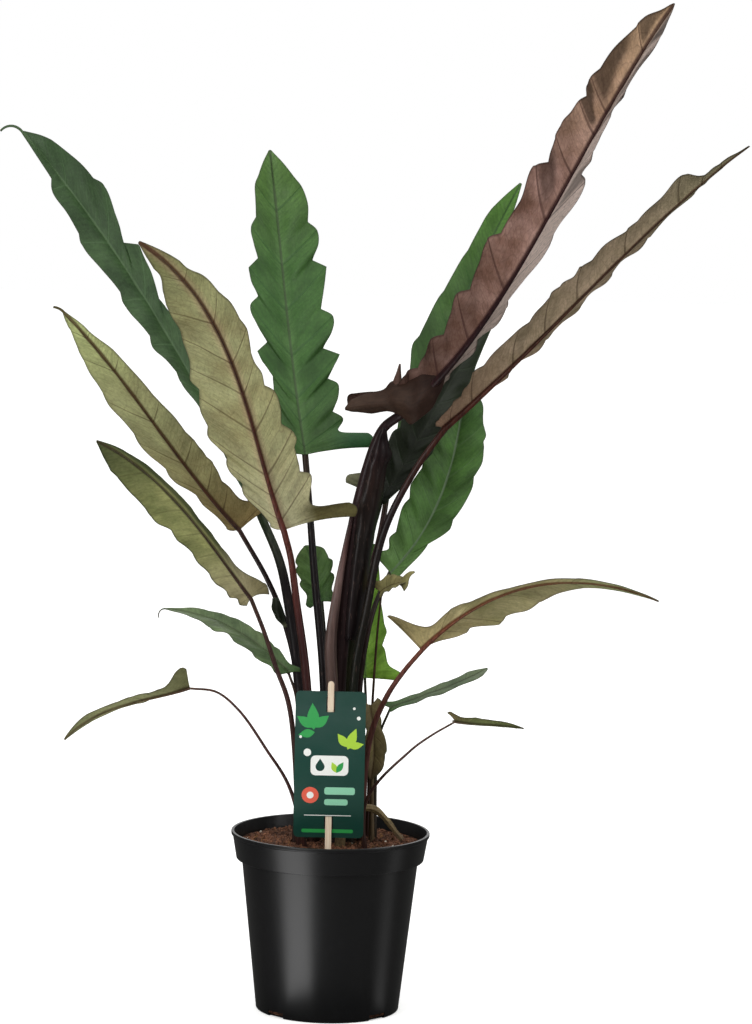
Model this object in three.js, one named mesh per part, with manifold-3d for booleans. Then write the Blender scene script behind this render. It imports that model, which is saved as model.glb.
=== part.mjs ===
// Sword-leaved alocasia in a black nursery pot, with a care card on a wooden stick.
// Millimetres, +Z up. The origin is the centre of the pot's underside, and the front faces -Y.

import * as THREE from 'three';
import Module from 'manifold-3d';
import { mergeVertices } from 'three/addons/utils/BufferGeometryUtils.js';

const wasm = await Module();
wasm.setup();

// Pot: a tapered nursery pot of 17 cm with a wider band under its rim
const potHeight = 155.2;
const rimRadius = 85.8;
const rimLipHeight = 3;
const bandHeight = 24;
const bandFootRadius = 81;
const bodyTopRadius = 76.3;
const baseRadius = 63;
const baseChamfer = 2.2;
const potWall = 1.5;
const potFloor = 2;
const potSegments = 40;
const footNotch = { count: 4, width: 18, height: 5, depth: 8 };
const drainHole = { count: 6, radius: 4.5, ringRadius: 36 };

// Potting soil, a little under the rim, with a low uneven surface
const fitGap = 0.35;
const soilLevel = 144;
const soilMound = 2.5;
const soilRelief = 1.5;
const soilRings = [14, 28, 42, 56, 69];
const stalkDepth = 26;

// Leaf tissue and the tube that carries it
const bladeThickness = 0.8;
const stalkClearance = 0.6;
const bladeColumns = [0, 0.5, 1];
const veinSweep = 0.8;
const rowSpacing = 2.2;
const notchDepth = 0.2;
const bladeArch = 0.07;
const tipHalfWidth = 1.1;
const tailSteps = 3;
const stalkStep = 28;
const midribStep = 26;
const midribEndRadius = 0.8;

// Care card, bowed between two slots that a straight stick is threaded through
const card = {
  width: 59.7, bottom: 158, top: 284, centreX: -1.4, planeY: -50,
  bow: 8.5, thickness: 0.8, corner: 4, steps: 22,
};
const slots = { lower: 171, upper: 273, width: 7.4, height: 12.5 };
const stick = { width: 5.4, thickness: 1.6, top: 293, bottom: 118, x: -1.4 };

const colours = {
  green: 0x3f6d2f,
  deepGreen: 0x1f3a24,
  olive: 0x7d7845,
  bronze: 0x8c8557,
  purple: 0x6b4c45,
  stalkDark: 0x241a1c,
  stalkRed: 0x4a2a26,
  stalkPale: 0x6f6447,
};

// Each leaf, sizes in mm.
// rib: four points that the midrib passes through, from the base to the tip
// face: which way the upper face looks, at the base and at the tip
// fold: how far the right and the left half rise from the plane of that face, in degrees
// Margin points are [distance along the rib, half width]. A lobe has its two tip corners and its
// shoulder.
// stem: root place [x, y] and points on the way up, with the radii at the root, midway and at the blade
// tail: length of the thread-like tip and the angle it turns toward the ground, in degrees
// sheath: how much wider than deep the stalk is on each side, where it wraps younger stalks
const leaves = [
  {
    name: 'leaf_01', blade: 'deepGreen', stalk: 'stalkDark', wave: 4, tail: [22, 95],
    rib: [[-65, 30, 428], [-132, 83, 541], [-214, 131, 661], [-289, 155, 751]],
    face: [[0.65, -0.66, 0.4], [0.1, -1, 0.3]], fold: [20, 20],
    rightLobe: [[-14, 24], [-4, 26], [16, 20]],
    right: [[58, 26], [103, 29], [153, 28], [212, 25], [272, 24], [330, 29], [384, 17]],
    leftLobe: [[-6, 18], [4, 19], [18, 16]],
    left: [[56, 20], [97, 21], [141, 19], [185, 20], [232, 22], [300, 23], [357, 15]],
    stem: [[-16, 8], [-30, 12, 284], [-41, 16, 354], [-49, 19, 387]], radii: [6.5, 4.7, 3.6],
  },
  {
    name: 'leaf_02', blade: 'bronze', stalk: 'stalkRed', wave: 3,
    rib: [[-44, -41, 420], [-73, -86, 518], [-110, -135, 610], [-162, -177, 665]],
    face: [[0, 1, 0.3], [0, 1, 0.2]], fold: [14, 14],
    rightLobe: [[2, 6], [8, 10], [20, 15]],
    right: [[42, 25], [69, 32], [99, 41], [137, 38], [169, 36], [201, 31], [232, 28], [272, 12]],
    leftLobe: [[-14, 61], [0, 60], [14, 29]],
    left: [[43, 36], [85, 34], [126, 31], [155, 28], [180, 26], [207, 25], [229, 22], [267, 10]],
    stem: [[-12, -8], [-23, -15, 288], [-33, -20, 358], [-38, -25, 393]], radii: [6, 3.7, 2.7],
  },
  {
    name: 'leaf_03', blade: 'olive', stalk: 'stalkDark', wave: 3, tail: [10, 40],
    rib: [[-83, 0, 415], [-128, -28, 470], [-173, -58, 533], [-229, -91, 603]],
    face: [[0.1, 1, 0.3], [0.1, 1, 0.3]], fold: [20, 20],
    rightLobe: [[2, 6], [8, 9], [20, 9]],
    right: [[40, 12], [73, 21], [115, 26], [162, 27], [209, 18], [237, 8]],
    leftLobe: [[-3, 27], [8, 27], [20, 19]],
    left: [[40, 18], [66, 20], [95, 19], [141, 15], [195, 11], [227, 5]],
    stem: [[-26, 18], [-32, 27, 283], [-45, 26, 336], [-59, 19, 370]], radii: [4, 2.6, 2],
  },
  {
    name: 'leaf_04', blade: 'olive', stalk: 'stalkRed', wave: 3,
    rib: [[-71, -37, 361], [-103, -66, 407], [-143, -94, 457], [-198, -119, 499]],
    face: [[0.1, 1, 0.3], [0.1, 1, 0.3]], fold: [12, 72],
    rightLobe: [[-6, 8], [-1, 13], [4, 12]],
    right: [[9, 21], [32, 22], [59, 22], [87, 26], [118, 31], [169, 20]],
    leftLobe: [[-20, 22], [-9, 25], [10, 17]],
    left: [[30, 14], [58, 13], [86, 14], [111, 15], [140, 13], [175, 9]],
    stem: [[-24, -16], [-37, -24, 266], [-49, -30, 301], [-60, -34, 333]], radii: [3.4, 2.2, 1.8],
  },
  {
    name: 'leaf_05', blade: 'deepGreen', stalk: 'stalkDark', wave: 2, tail: [11, 110],
    rib: [[-38, -7, 293], [-64, 5, 314], [-104, 23, 333], [-148, 39, 340]],
    face: [[-0.2, -0.3, 1], [-0.1, -0.5, 1]], fold: [20, 20],
    rightLobe: [[-5, 8], [0, 9], [6, 6]],
    right: [[21, 9], [43, 11], [67, 11], [97, 7]],
    leftLobe: [[2, 16], [8, 18], [14, 15]],
    left: [[26, 22], [54, 21], [80, 20], [107, 9]],
    stem: [[-31, -3], [-30, -7, 240], [-32, -10, 274]], radii: [2.6, 1.6, 1.2],
  },
  {
    name: 'leaf_06', blade: 'olive', stalk: 'stalkRed', wave: 1.5,
    rib: [[-120, -76, 289], [-140, -88, 284], [-177, -101, 275], [-222, -107, 247]],
    face: [[-0.2, 0.8, 1], [-0.1, 0.8, 1]], fold: [20, 20],
    rightLobe: [[-3, 11], [3, 12], [10, 9]],
    right: [[22, 10], [50, 10], [91, 7]],
    leftLobe: [[6, 22], [15, 22], [24, 11]],
    left: [[33, 8], [56, 7], [93, 7]],
    stem: [[-15, -25], [-35, -37, 198], [-55, -51, 233], [-79, -65, 269], [-98, -71, 285]],
    radii: [2.4, 1.3, 1],
  },
  {
    name: 'leaf_07', blade: 'green', stalk: 'stalkDark', wave: 4,
    rib: [[-29, 44, 477], [-43, 86, 557], [-55, 131, 641], [-68, 155, 739]],
    face: [[0.05, -1, 0.35], [0.05, -1, 0.2]], fold: [16, 16],
    rightLobe: [[-6, 58], [7, 58], [15, 32]],
    right: [[25, 38], [59, 38], [88, 45], [120, 40], [173, 41], [211, 35], [254, 25]],
    leftLobe: [[2, 12], [8, 15], [16, 15]],
    left: [[36, 22], [65, 30], [100, 34], [144, 33], [181, 31], [221, 25], [261, 17]],
    stem: [[-3, 14], [-9, 20, 283], [-19, 30, 376], [-25, 39, 438]], radii: [5.5, 3.5, 2.8],
  },
  {
    name: 'leaf_08', blade: 'purple', stalk: 'stalkDark', wave: 5,
    rib: [[53, -17, 521], [116, -80, 597], [182, -144, 717], [261, -207, 863]],
    face: [[-0.2, 1, 0.3], [-0.2, 1, 0.3]], fold: [14, 50],
    rightLobe: [[-36, 31], [-21, 38], [10, 20]],
    right: [[37, 22], [83, 26], [135, 32], [191, 35], [268, 31], [298, 29], [335, 24],
      [358, 25], [415, 12]],
    leftLobe: [[-14, 24], [-6, 27], [12, 24]],
    left: [[42, 26], [83, 29], [133, 31], [201, 31], [266, 29], [299, 25], [334, 22],
      [357, 20], [412, 13]],
    stem: [[3, -1], [4, 0, 278], [12, -3, 391], [19, -6, 443], [37, -11, 504]],
    radii: [8, 6.6, 4], sheath: 3.2,
  },
  {
    name: 'leaf_09', blade: 'green', stalk: 'stalkRed', wave: 3,
    rib: [[45, 61, 456], [80, 102, 545], [117, 144, 633], [157, 177, 714]],
    face: [[0.1, -1, 0.3], [0.1, -1, 0.3]], fold: [16, 16],
    rightLobe: [[-2, 8], [4, 11], [14, 12]],
    right: [[38, 22], [79, 25], [122, 27], [172, 22], [217, 14], [256, 9]],
    leftLobe: [[4, 13], [11, 14], [20, 9]],
    left: [[35, 12], [78, 19], [122, 27], [171, 22], [215, 17], [261, 14]],
    stem: [[2, 28], [6, 34, 299], [22, 40, 354], [36, 48, 401]], radii: [4.5, 3.2, 2.4],
  },
  {
    name: 'leaf_10', blade: 'bronze', stalk: 'stalkDark', wave: 4,
    rib: [[89, -3, 507], [169, -25, 586], [249, -52, 671], [336, -80, 752]],
    face: [[-0.6, 0.8, 0.6], [-0.6, 0.8, 0.6]], fold: [5, 30],
    rightLobe: [[-3, 8], [3, 11], [10, 12]],
    right: [[24, 15], [58, 27], [113, 27], [154, 29], [189, 28], [238, 20], [305, 24], [331, 7]],
    leftLobe: [[-4, 10], [3, 14], [12, 14]],
    left: [[28, 18], [68, 27], [113, 30], [153, 31], [193, 28], [240, 20], [298, 9], [331, 4]],
    stem: [[16, -10], [18, -10, 292], [27, -11, 349], [41, -8, 418], [66, -6, 470]],
    radii: [5, 3.6, 2.6],
  },
  {
    name: 'leaf_11', blade: 'deepGreen', stalk: 'stalkDark', wave: 3,
    rib: [[37, 19, 442], [68, 33, 493], [99, 50, 549], [134, 66, 599]],
    face: [[0.1, -1, 0.3], [0.1, -1, 0.3]], fold: [12, 10],
    rightLobe: [[-2, 4], [4, 6], [12, 8]],
    right: [[33, 13], [59, 17], [83, 19], [118, 18], [143, 12]],
    leftLobe: [[-6, 33], [4, 32], [18, 20]],
    left: [[33, 22], [57, 22], [81, 20], [114, 16], [145, 10]],
    stem: [[11, 12], [13, 15, 285], [21, 16, 355], [26, 18, 398]], radii: [6.5, 5, 3],
  },
  {
    name: 'leaf_12', blade: 'green', stalk: 'stalkDark', wave: 3,
    rib: [[47, 57, 374], [87, 86, 432], [105, 116, 495], [111, 135, 555]],
    face: [[0.2, -1, 0.35], [0.2, -1, 0.3]], fold: [16, 16],
    rightLobe: [[-2, 5], [3, 8], [12, 8]],
    right: [[37, 10], [60, 20], [102, 24], [137, 25], [158, 21], [185, 13]],
    leftLobe: [[0, 18], [6, 20], [14, 16]],
    left: [[23, 22], [58, 28], [93, 28], [124, 25], [153, 20], [182, 12]],
    stem: [[22, 22], [23, 29, 283], [33, 39, 343]], radii: [4, 2.6, 2.2],
  },
  {
    name: 'leaf_13', blade: 'bronze', stalk: 'stalkRed', wave: 4,
    rib: [[39, 13, 362], [46, 12, 367], [54, 11, 370], [62, 8, 372]],
    face: [[0.1, -0.6, 1], [0.1, -0.6, 1]], fold: [25, 25],
    rightLobe: [[-2, 9], [2, 11], [5, 9]],
    right: [[10, 13], [18, 9]],
    leftLobe: [[-2, 8], [2, 11], [5, 9]],
    left: [[11, 12], [18, 8]],
    stem: [[31, 24], [34, 26, 267], [37, 19, 329]], radii: [1.8, 1.2, 0.9],
  },
  {
    name: 'leaf_14', blade: 'green', stalk: 'stalkDark', wave: 1.5,
    rib: [[-12, 53, 348], [-16, 58, 362], [-21, 63, 379], [-28, 69, 395]],
    face: [[0, -1, 0.3], [0, -1, 0.3]], fold: [14, 14],
    rightLobe: [[-4, 10], [2, 12], [8, 11]],
    right: [[20, 16], [32, 18], [43, 14]],
    leftLobe: [[-4, 12], [2, 14], [8, 12]],
    left: [[19, 16], [33, 16], [44, 12]],
    stem: [[-12, 28], [-8, 39, 249], [-9, 49, 319]], radii: [2.4, 1.5, 1.2],
  },
  {
    name: 'leaf_15', blade: 'green', stalk: 'stalkDark', wave: 2,
    rib: [[27, 42, 283], [27, 51, 316], [29, 64, 354], [32, 77, 397]],
    face: [[0.1, -1, 0.2], [0.1, -1, 0.2]], fold: [14, 14],
    rightLobe: [[-3, 30], [5, 30], [11, 21]],
    right: [[25, 17], [41, 18], [71, 10], [100, 6]],
    leftLobe: [[-4, 12], [4, 14], [11, 13]],
    left: [[26, 12], [47, 13], [73, 10], [100, 6]],
    stem: [[16, 36], [24, 40, 219], [28, 40, 254]], radii: [2.6, 1.5, 1.2],
  },
  {
    name: 'leaf_16', blade: 'bronze', stalk: 'stalkRed', wave: 2.5,
    rib: [[74, -38, 320], [119, -69, 361], [175, -104, 386], [268, -130, 377]],
    face: [[-0.1, 0.8, 0.6], [0.1, 0.6, 0.8]], fold: [4, 8],
    rightLobe: [[8, 44], [11, 42], [22, 13]],
    right: [[51, 12], [78, 8], [112, 5], [171, 6]],
    leftLobe: [[2, 2.5], [5, 3.5], [10, 4]],
    left: [[37, 20], [66, 35], [120, 27], [171, 9]],
    stem: [[25, 2], [32, -14, 237], [46, -24, 277], [60, -31, 300]], radii: [4, 2.6, 2],
  },
  {
    name: 'leaf_17', blade: 'deepGreen', stalk: 'stalkDark', wave: 2,
    rib: [[49, 17, 261], [79, 24, 271], [108, 37, 281], [134, 52, 292]],
    face: [[-0.3, -0.7, 1], [-0.3, -0.7, 1]], fold: [20, 20],
    rightLobe: [[-2, 7], [2, 8], [8, 6]],
    right: [[25, 8], [53, 9], [86, 9]],
    leftLobe: [[-8, 7], [-4, 8], [6, 5]],
    left: [[23, 5], [51, 6], [82, 6]],
    stem: [[38, 14], [38, 18, 205], [40, 18, 235]], radii: [2.4, 1.5, 1.1],
  },
  {
    name: 'leaf_18', blade: 'olive', stalk: 'stalkRed', wave: 1.5,
    rib: [[104, -50, 261], [121, -57, 260], [141, -64, 260], [162, -71, 259]],
    face: [[0, 0.8, 1], [0, 0.8, 1]], fold: [20, 20],
    rightLobe: [[-6, 8], [0, 9], [7, 6]],
    right: [[20, 7], [45, 5]],
    leftLobe: [[-8, 12], [-1, 13], [7, 7]],
    left: [[21, 7], [45, 5]],
    stem: [[33, -27], [30, -28, 186], [66, -39, 232], [84, -44, 247]], radii: [2.4, 1.2, 0.9],
  },
  {
    name: 'leaf_19', blade: 'bronze', stalk: 'stalkPale', wave: 2, midrib: 0,
    rib: [[32, 1, 265], [35, 1, 243], [36, 1, 222], [33, 1, 200]],
    face: [[0.3, -1, 0.3], [0.3, -1, 0]], fold: [20, 20],
    rightLobe: [[-6, 7], [0, 9], [6, 7]],
    right: [[16, 8], [36, 10], [52, 8]],
    leftLobe: [[-6, 7], [0, 9], [6, 7]],
    left: [[14, 8], [39, 11], [53, 9]],
    stem: [[36, 4], [35, 9, 190], [35, 9, 235]], radii: [2.6, 1.6, 1.1],
  },
];

// The limp stalk of a spent leaf, bent over onto the soil, flattened as it dries
const spentStalk = {
  name: 'spent_stalk',
  points: [[7, -27, 118], [14, -25, 174], [36, -15, 178], [62, -12, 151]],
  radii: [4.4, 3.6, 2.2],
};

// A smooth curve through four points, timed by the distances between them
class FourPointCurve extends THREE.Curve {
  constructor(points) {
    super();
    this.points = points.map((point) => new THREE.Vector3(...point));
    const reach = [0];
    for (let i = 1; i < points.length; i += 1) {
      reach.push(reach[i - 1] + this.points[i].distanceTo(this.points[i - 1]));
    }
    this.times = reach.map((distance) => distance / reach[reach.length - 1]);
  }

  getPoint(t, target = new THREE.Vector3()) {
    target.set(0, 0, 0);
    this.points.forEach((point, i) => {
      let weight = 1;
      this.times.forEach((time, j) => {
        if (j !== i) weight *= (t - time) / (this.times[i] - time);
      });
      target.addScaledVector(point, weight);
    });
    return target;
  }
}

// A geometry with position alone, shared corners merged and its faces pointing out
function closedGeometry(positions, indices) {
  const raw = new THREE.BufferGeometry();
  raw.setAttribute('position', new THREE.Float32BufferAttribute(positions, 3));
  raw.setIndex(indices);
  return outwardGeometry(raw);
}

function outwardGeometry(source) {
  source.deleteAttribute('normal');
  source.deleteAttribute('uv');
  const geometry = mergeVertices(source, 1e-4);
  const index = geometry.index;
  const corners = [new THREE.Vector3(), new THREE.Vector3(), new THREE.Vector3()];
  const kept = [];
  let volume = 0;
  for (let i = 0; i < index.count; i += 3) {
    const face = [index.getX(i), index.getX(i + 1), index.getX(i + 2)];
    if (face[0] !== face[1] && face[1] !== face[2] && face[2] !== face[0]) {
      corners.forEach((corner, j) => corner.fromBufferAttribute(geometry.attributes.position, face[j]));
      volume += corners[0].dot(corners[1].clone().cross(corners[2]));
      kept.push(face);
    }
  }
  geometry.setIndex(kept.flatMap((face) => (volume > 0 ? face : [face[0], face[2], face[1]])));
  return geometry;
}

function toSolid(geometry) {
  return new wasm.Manifold(new wasm.Mesh({
    numProp: 3,
    vertProperties: new Float32Array(geometry.attributes.position.array),
    triVerts: new Uint32Array(geometry.index.array),
  }));
}

function fromSolid(solid) {
  const mesh = solid.getMesh();
  return closedGeometry(Array.from(mesh.vertProperties), Array.from(mesh.triVerts));
}

// Where the blade's plane stands at a distance along the rib: straight on past the base, and past
// the tip turning toward the ground where the leaf has a tail
function ribFrame(rib, length, leaf, along) {
  const part = THREE.MathUtils.clamp(along / length, 0, 1);
  const tangent = rib.getTangentAt(part);
  const [baseFace, tipFace] = leaf.face.map((side) => new THREE.Vector3(...side).normalize());
  const normal = baseFace.lerp(tipFace, part);
  normal.addScaledVector(tangent, -normal.dot(tangent)).normalize();
  const origin = rib.getPointAt(part);
  if (part < 1 || !leaf.tail) {
    origin.addScaledVector(tangent, along - part * length);
  } else {
    const [tailLength, tailTurn] = leaf.tail;
    const down = new THREE.Vector3(0, 0, -1);
    down.addScaledVector(tangent, -down.dot(tangent)).normalize();
    const turn = (THREE.MathUtils.degToRad(tailTurn) * (along - length)) / tailLength;
    const bendRadius = tailLength / THREE.MathUtils.degToRad(tailTurn);
    origin.addScaledVector(tangent, bendRadius * Math.sin(turn));
    origin.addScaledVector(down, bendRadius * (1 - Math.cos(turn)));
    const axis = tangent.clone().cross(down);
    tangent.applyAxisAngle(axis, turn);
    normal.applyAxisAngle(axis, turn);
  }
  return { origin, tangent, normal, right: tangent.clone().cross(normal) };
}

// Margin points of one half: the lobe, then a tip, a notch and a midpoint for each tooth.
// The phase counts the teeth, so the blade's waves keep step with them.
function marginPoints(lobe, teeth, length, tail) {
  const notchRun = THREE.MathUtils.clamp(length * 0.012, 1.2, 4);
  const points = [[...lobe[0], -1], [...lobe[1], -0.85], [...lobe[2], -0.45]];
  teeth.forEach(([along, width], i) => {
    const next = teeth[i + 1] ?? [length, tipHalfWidth];
    const notch = [along + notchRun, width * (1 - notchDepth)];
    points.push([along, width, i]);
    points.push([...notch, i + 0.12]);
    points.push([(notch[0] + next[0]) / 2, (notch[1] + next[1]) / 2, i + 0.56]);
  });
  points.push([length - 0.5, tipHalfWidth, teeth.length]);
  for (let i = 1; tail && i <= tailSteps; i += 1) {
    points.push([length + (tail[0] * i) / tailSteps, tipHalfWidth, teeth.length]);
  }
  return points;
}

// The leaf blade: rows that follow the side veins from the rib to the margin, given a thickness
function bladeGeometry(leaf) {
  const rib = new FourPointCurve(leaf.rib);
  const length = rib.getLength();
  const margins = {
    right: marginPoints(leaf.rightLobe, leaf.right, length, leaf.tail),
    left: marginPoints(leaf.leftLobe, leaf.left, length, leaf.tail),
  };
  const rows = margins.right.length;
  const tipRow = rows - 1 - (leaf.tail ? tailSteps : 0);
  const starts = [];
  for (let k = 0; k < tipRow; k += 1) {
    const [rightAlong, rightWidth] = margins.right[k];
    const [leftAlong, leftWidth] = margins.left[k];
    const wanted = (rightAlong + leftAlong - veinSweep * (rightWidth + leftWidth)) / 2;
    const earliest = k === 0 ? 0 : starts[k - 1] + rowSpacing;
    starts.push(Math.min(Math.max(wanted, earliest), length - (tipRow - k) * rowSpacing));
  }
  for (let k = tipRow; k < rows; k += 1) {
    starts[k] = length + ((leaf.tail?.[0] ?? 0) * (k - tipRow)) / tailSteps;
  }

  const columns = bladeColumns.length;
  const points = [];
  for (const side of ['right', 'left']) {
    const sign = side === 'right' ? 1 : -1;
    const fold = THREE.MathUtils.degToRad(leaf.fold[side === 'right' ? 0 : 1]);
    margins[side].forEach(([marginAlong, marginWidth, phase], k) => {
      bladeColumns.forEach((v) => {
        if (side === 'left' && v === 0) return;
        const width = marginWidth * v;
        const frame = ribFrame(rib, length, leaf, starts[k] + (marginAlong - starts[k]) * v);
        const arch = bladeArch * marginWidth * 4 * v * (1 - v);
        const wave = 0.5 * leaf.wave * Math.min(1, marginWidth / 20);
        const ripple = wave * v * v * Math.cos(2 * Math.PI * phase);
        points.push(frame.origin
          .addScaledVector(frame.right, sign * width * Math.cos(fold))
          .addScaledVector(frame.normal, width * Math.sin(fold) + arch - ripple));
      });
    });
  }
  const leftStart = rows * columns;
  const at = (k, j) => {
    if (j >= 0) return k * columns + j;
    return leftStart + k * (columns - 1) + (-j - 1);
  };

  const faces = [];
  for (let k = 0; k < rows - 1; k += 1) {
    for (let j = 0; j < columns - 1; j += 1) {
      faces.push([at(k, j), at(k, j + 1), at(k + 1, j + 1)]);
      faces.push([at(k, j), at(k + 1, j + 1), at(k + 1, j)]);
      const inner = j === 0 ? 0 : -j;
      faces.push([at(k, inner), at(k + 1, -j - 1), at(k, -j - 1)]);
      faces.push([at(k, inner), at(k + 1, inner), at(k + 1, -j - 1)]);
    }
  }
  const edge = [];
  for (let j = 0; j < columns; j += 1) edge.push(at(0, j));
  for (let k = 1; k < rows; k += 1) edge.push(at(k, columns - 1));
  for (let j = columns - 2; j > -columns; j -= 1) edge.push(at(rows - 1, j));
  for (let k = rows - 2; k >= 0; k -= 1) edge.push(at(k, 1 - columns));
  for (let j = 2 - columns; j < 0; j += 1) edge.push(at(0, j));
  return thickened(points, faces, edge, bladeThickness);
}

// A sheet with both its faces split into triangles alike, closed along its edge
function thickened(points, faces, edge, thickness) {
  const normals = points.map(() => new THREE.Vector3());
  faces.forEach(([a, b, c]) => {
    const ab = points[b].clone().sub(points[a]);
    const normal = ab.cross(points[c].clone().sub(points[a]));
    [a, b, c].forEach((corner) => normals[corner].add(normal));
  });
  const positions = [];
  [0.5, -0.5].forEach((share) => {
    points.forEach((point, i) => {
      const shifted = point.clone().addScaledVector(normals[i].clone().normalize(), share * thickness);
      positions.push(shifted.x, shifted.y, shifted.z);
    });
  });
  const under = points.length;
  const indices = faces.flatMap(([a, b, c]) => [a, b, c, under + a, under + c, under + b]);
  edge.forEach((start, i) => {
    const end = edge[(i + 1) % edge.length];
    indices.push(end, start, under + start, end, under + start, under + end);
  });
  return closedGeometry(positions, indices);
}

// A tube with closed ends through a row of centres, each with its own radius
function tubeGeometry(centres, radii, sides, spread = []) {
  const positions = [];
  const indices = [];
  let across = new THREE.Vector3(1, 0, 0);
  centres.forEach((centre, k) => {
    const before = centres[Math.max(k - 1, 0)];
    const after = centres[Math.min(k + 1, centres.length - 1)];
    const tangent = after.clone().sub(before).normalize();
    across = across.clone().addScaledVector(tangent, -across.dot(tangent)).normalize();
    const other = tangent.clone().cross(across);
    for (let i = 0; i < sides; i += 1) {
      const angle = (2 * Math.PI * i) / sides;
      const point = centre.clone()
        .addScaledVector(across, (radii[k] + (spread[k] ?? 0)) * Math.cos(angle))
        .addScaledVector(other, radii[k] * Math.sin(angle));
      positions.push(point.x, point.y, point.z);
    }
  });
  const last = (centres.length - 1) * sides;
  for (let i = 0; i < sides; i += 1) {
    const next = (i + 1) % sides;
    for (let k = 0; k < centres.length - 1; k += 1) {
      const ring = k * sides;
      indices.push(ring + i, ring + next, ring + sides + next);
      indices.push(ring + i, ring + sides + next, ring + sides + i);
    }
    if (i > 0 && i < sides - 1) indices.push(0, i + 1, i, last, last + i, last + i + 1);
  }
  return closedGeometry(positions, indices);
}

// Centres and radii of a leaf stalk: out of the soil, up to the blade and on under it as the midrib
function stalkPath(leaf) {
  const rib = new FourPointCurve(leaf.rib);
  const length = rib.getLength();
  const [rootRadius, midRadius, neckRadius] = leaf.radii;
  const under = (along, radius) => {
    const frame = ribFrame(rib, length, leaf, along);
    return frame.origin.addScaledVector(frame.normal, -(radius + bladeThickness / 2 + stalkClearance));
  };
  const neck = under(0, neckRadius);
  const [root, ...way] = leaf.stem;
  const passed = [[...root, soilLevel - stalkDepth], ...way];
  const stem = new THREE.CatmullRomCurve3([...passed.map((point) => new THREE.Vector3(...point)), neck]);
  const stemLength = stem.getLength();
  const collar = (stalkDepth + 8) / stemLength;
  const centres = [stem.getPointAt(0)];
  const radii = [rootRadius];
  const spread = [0];
  const stalkSteps = Math.max(4, Math.ceil((stemLength * (1 - collar)) / stalkStep));
  for (let i = 0; i <= stalkSteps; i += 1) {
    const part = collar + (1 - collar) * (i / stalkSteps);
    const flare = Math.max(0, 1 - (part - collar) / 0.45) ** 2;
    const taper = THREE.MathUtils.smoothstep(part, 0.55, 1);
    centres.push(i === stalkSteps ? neck : stem.getPointAt(part));
    radii.push(midRadius + (rootRadius - midRadius) * flare + (neckRadius - midRadius) * taper);
    const sheathEnd = 1 - THREE.MathUtils.smoothstep(part, 0.7, 0.9);
    const sheathed = THREE.MathUtils.smoothstep(part, collar, 0.3) * sheathEnd;
    spread.push((leaf.sheath ?? 0) * sheathed);
  }
  const midribReach = leaf.midrib ?? 0.72;
  const midribSteps = Math.ceil((length * midribReach) / midribStep);
  for (let i = 1; i <= midribSteps; i += 1) {
    const part = i / midribSteps;
    const radius = THREE.MathUtils.lerp(neckRadius, midribEndRadius, part ** 0.8);
    centres.push(under(length * midribReach * part, radius));
    radii.push(radius);
  }
  return { centres, radii, spread, sides: midRadius > 3 ? 8 : 6 };
}

function spentStalkPath() {
  const curve = new FourPointCurve(spentStalk.points);
  const [rootRadius, midRadius, endRadius] = spentStalk.radii;
  const collar = (stalkDepth + 8) / curve.getLength();
  const parts = [0, collar, 0.42, 0.5, 0.58, 0.66, 0.74, 0.82, 0.91, 1];
  const radii = parts.map((part) => {
    const lower = THREE.MathUtils.lerp(rootRadius, midRadius, Math.min(part / 0.5, 1));
    return THREE.MathUtils.lerp(lower, endRadius, THREE.MathUtils.smoothstep(part, 0.5, 1));
  });
  return { centres: parts.map((part) => curve.getPointAt(part)), radii, sides: 8 };
}

// The hole that a stalk stands in: its own lowest stretch, a little wider and longer
function rootHole({ centres, radii, sides }) {
  const [root, collar] = centres;
  const down = root.clone().sub(collar).normalize();
  const low = root.clone().addScaledVector(down, 1);
  return tubeGeometry([low, collar], [radii[0] + fitGap, radii[1] + fitGap], sides);
}

function lathe(profile, segments) {
  const points = profile.map(([radius, height]) => new THREE.Vector2(radius, height));
  return outwardGeometry(new THREE.LatheGeometry(points, segments).rotateX(Math.PI / 2));
}

// Inside radius of the pot's body and of its band at a height
const bandBottom = potHeight - bandHeight;
const bodyInside = (z) => {
  return THREE.MathUtils.mapLinear(z, 0, bandBottom, baseRadius, bodyTopRadius) - potWall;
};
const bandInside = (z) => {
  return THREE.MathUtils.mapLinear(z, bandBottom, potHeight, bandFootRadius, rimRadius - 1) - potWall;
};

function potGeometry() {
  const ledge = bandBottom + potWall;
  let pot = toSolid(lathe([
    [0, 0],
    [baseRadius - baseChamfer, 0],
    [baseRadius + 0.2, baseChamfer],
    [bodyTopRadius, bandBottom],
    [bandFootRadius, bandBottom],
    [rimRadius - 1.2, potHeight - rimLipHeight - 0.8],
    [rimRadius, potHeight - rimLipHeight],
    [rimRadius, potHeight],
    [bandInside(potHeight), potHeight],
    [bandInside(ledge), ledge],
    [bodyInside(ledge), ledge],
    [bodyInside(potFloor), potFloor],
    [0, potFloor],
  ], potSegments));
  for (let i = 0; i < footNotch.count; i += 1) {
    const notch = new THREE.BoxGeometry(footNotch.depth * 2, footNotch.width, footNotch.height * 2);
    notch.translate(baseRadius + footNotch.depth * 0.4, 0, 0);
    notch.rotateZ(Math.PI / 4 + (i * 2 * Math.PI) / footNotch.count);
    pot = pot.subtract(toSolid(outwardGeometry(notch)));
  }
  for (let i = 0; i < drainHole.count; i += 1) {
    const hole = new THREE.CylinderGeometry(drainHole.radius, drainHole.radius, potFloor * 4, 12);
    hole.rotateX(Math.PI / 2).translate(drainHole.ringRadius, 0, 0);
    hole.rotateZ((i * 2 * Math.PI) / drainHole.count);
    pot = pot.subtract(toSolid(outwardGeometry(hole)));
  }
  return fromSolid(pot);
}

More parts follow.
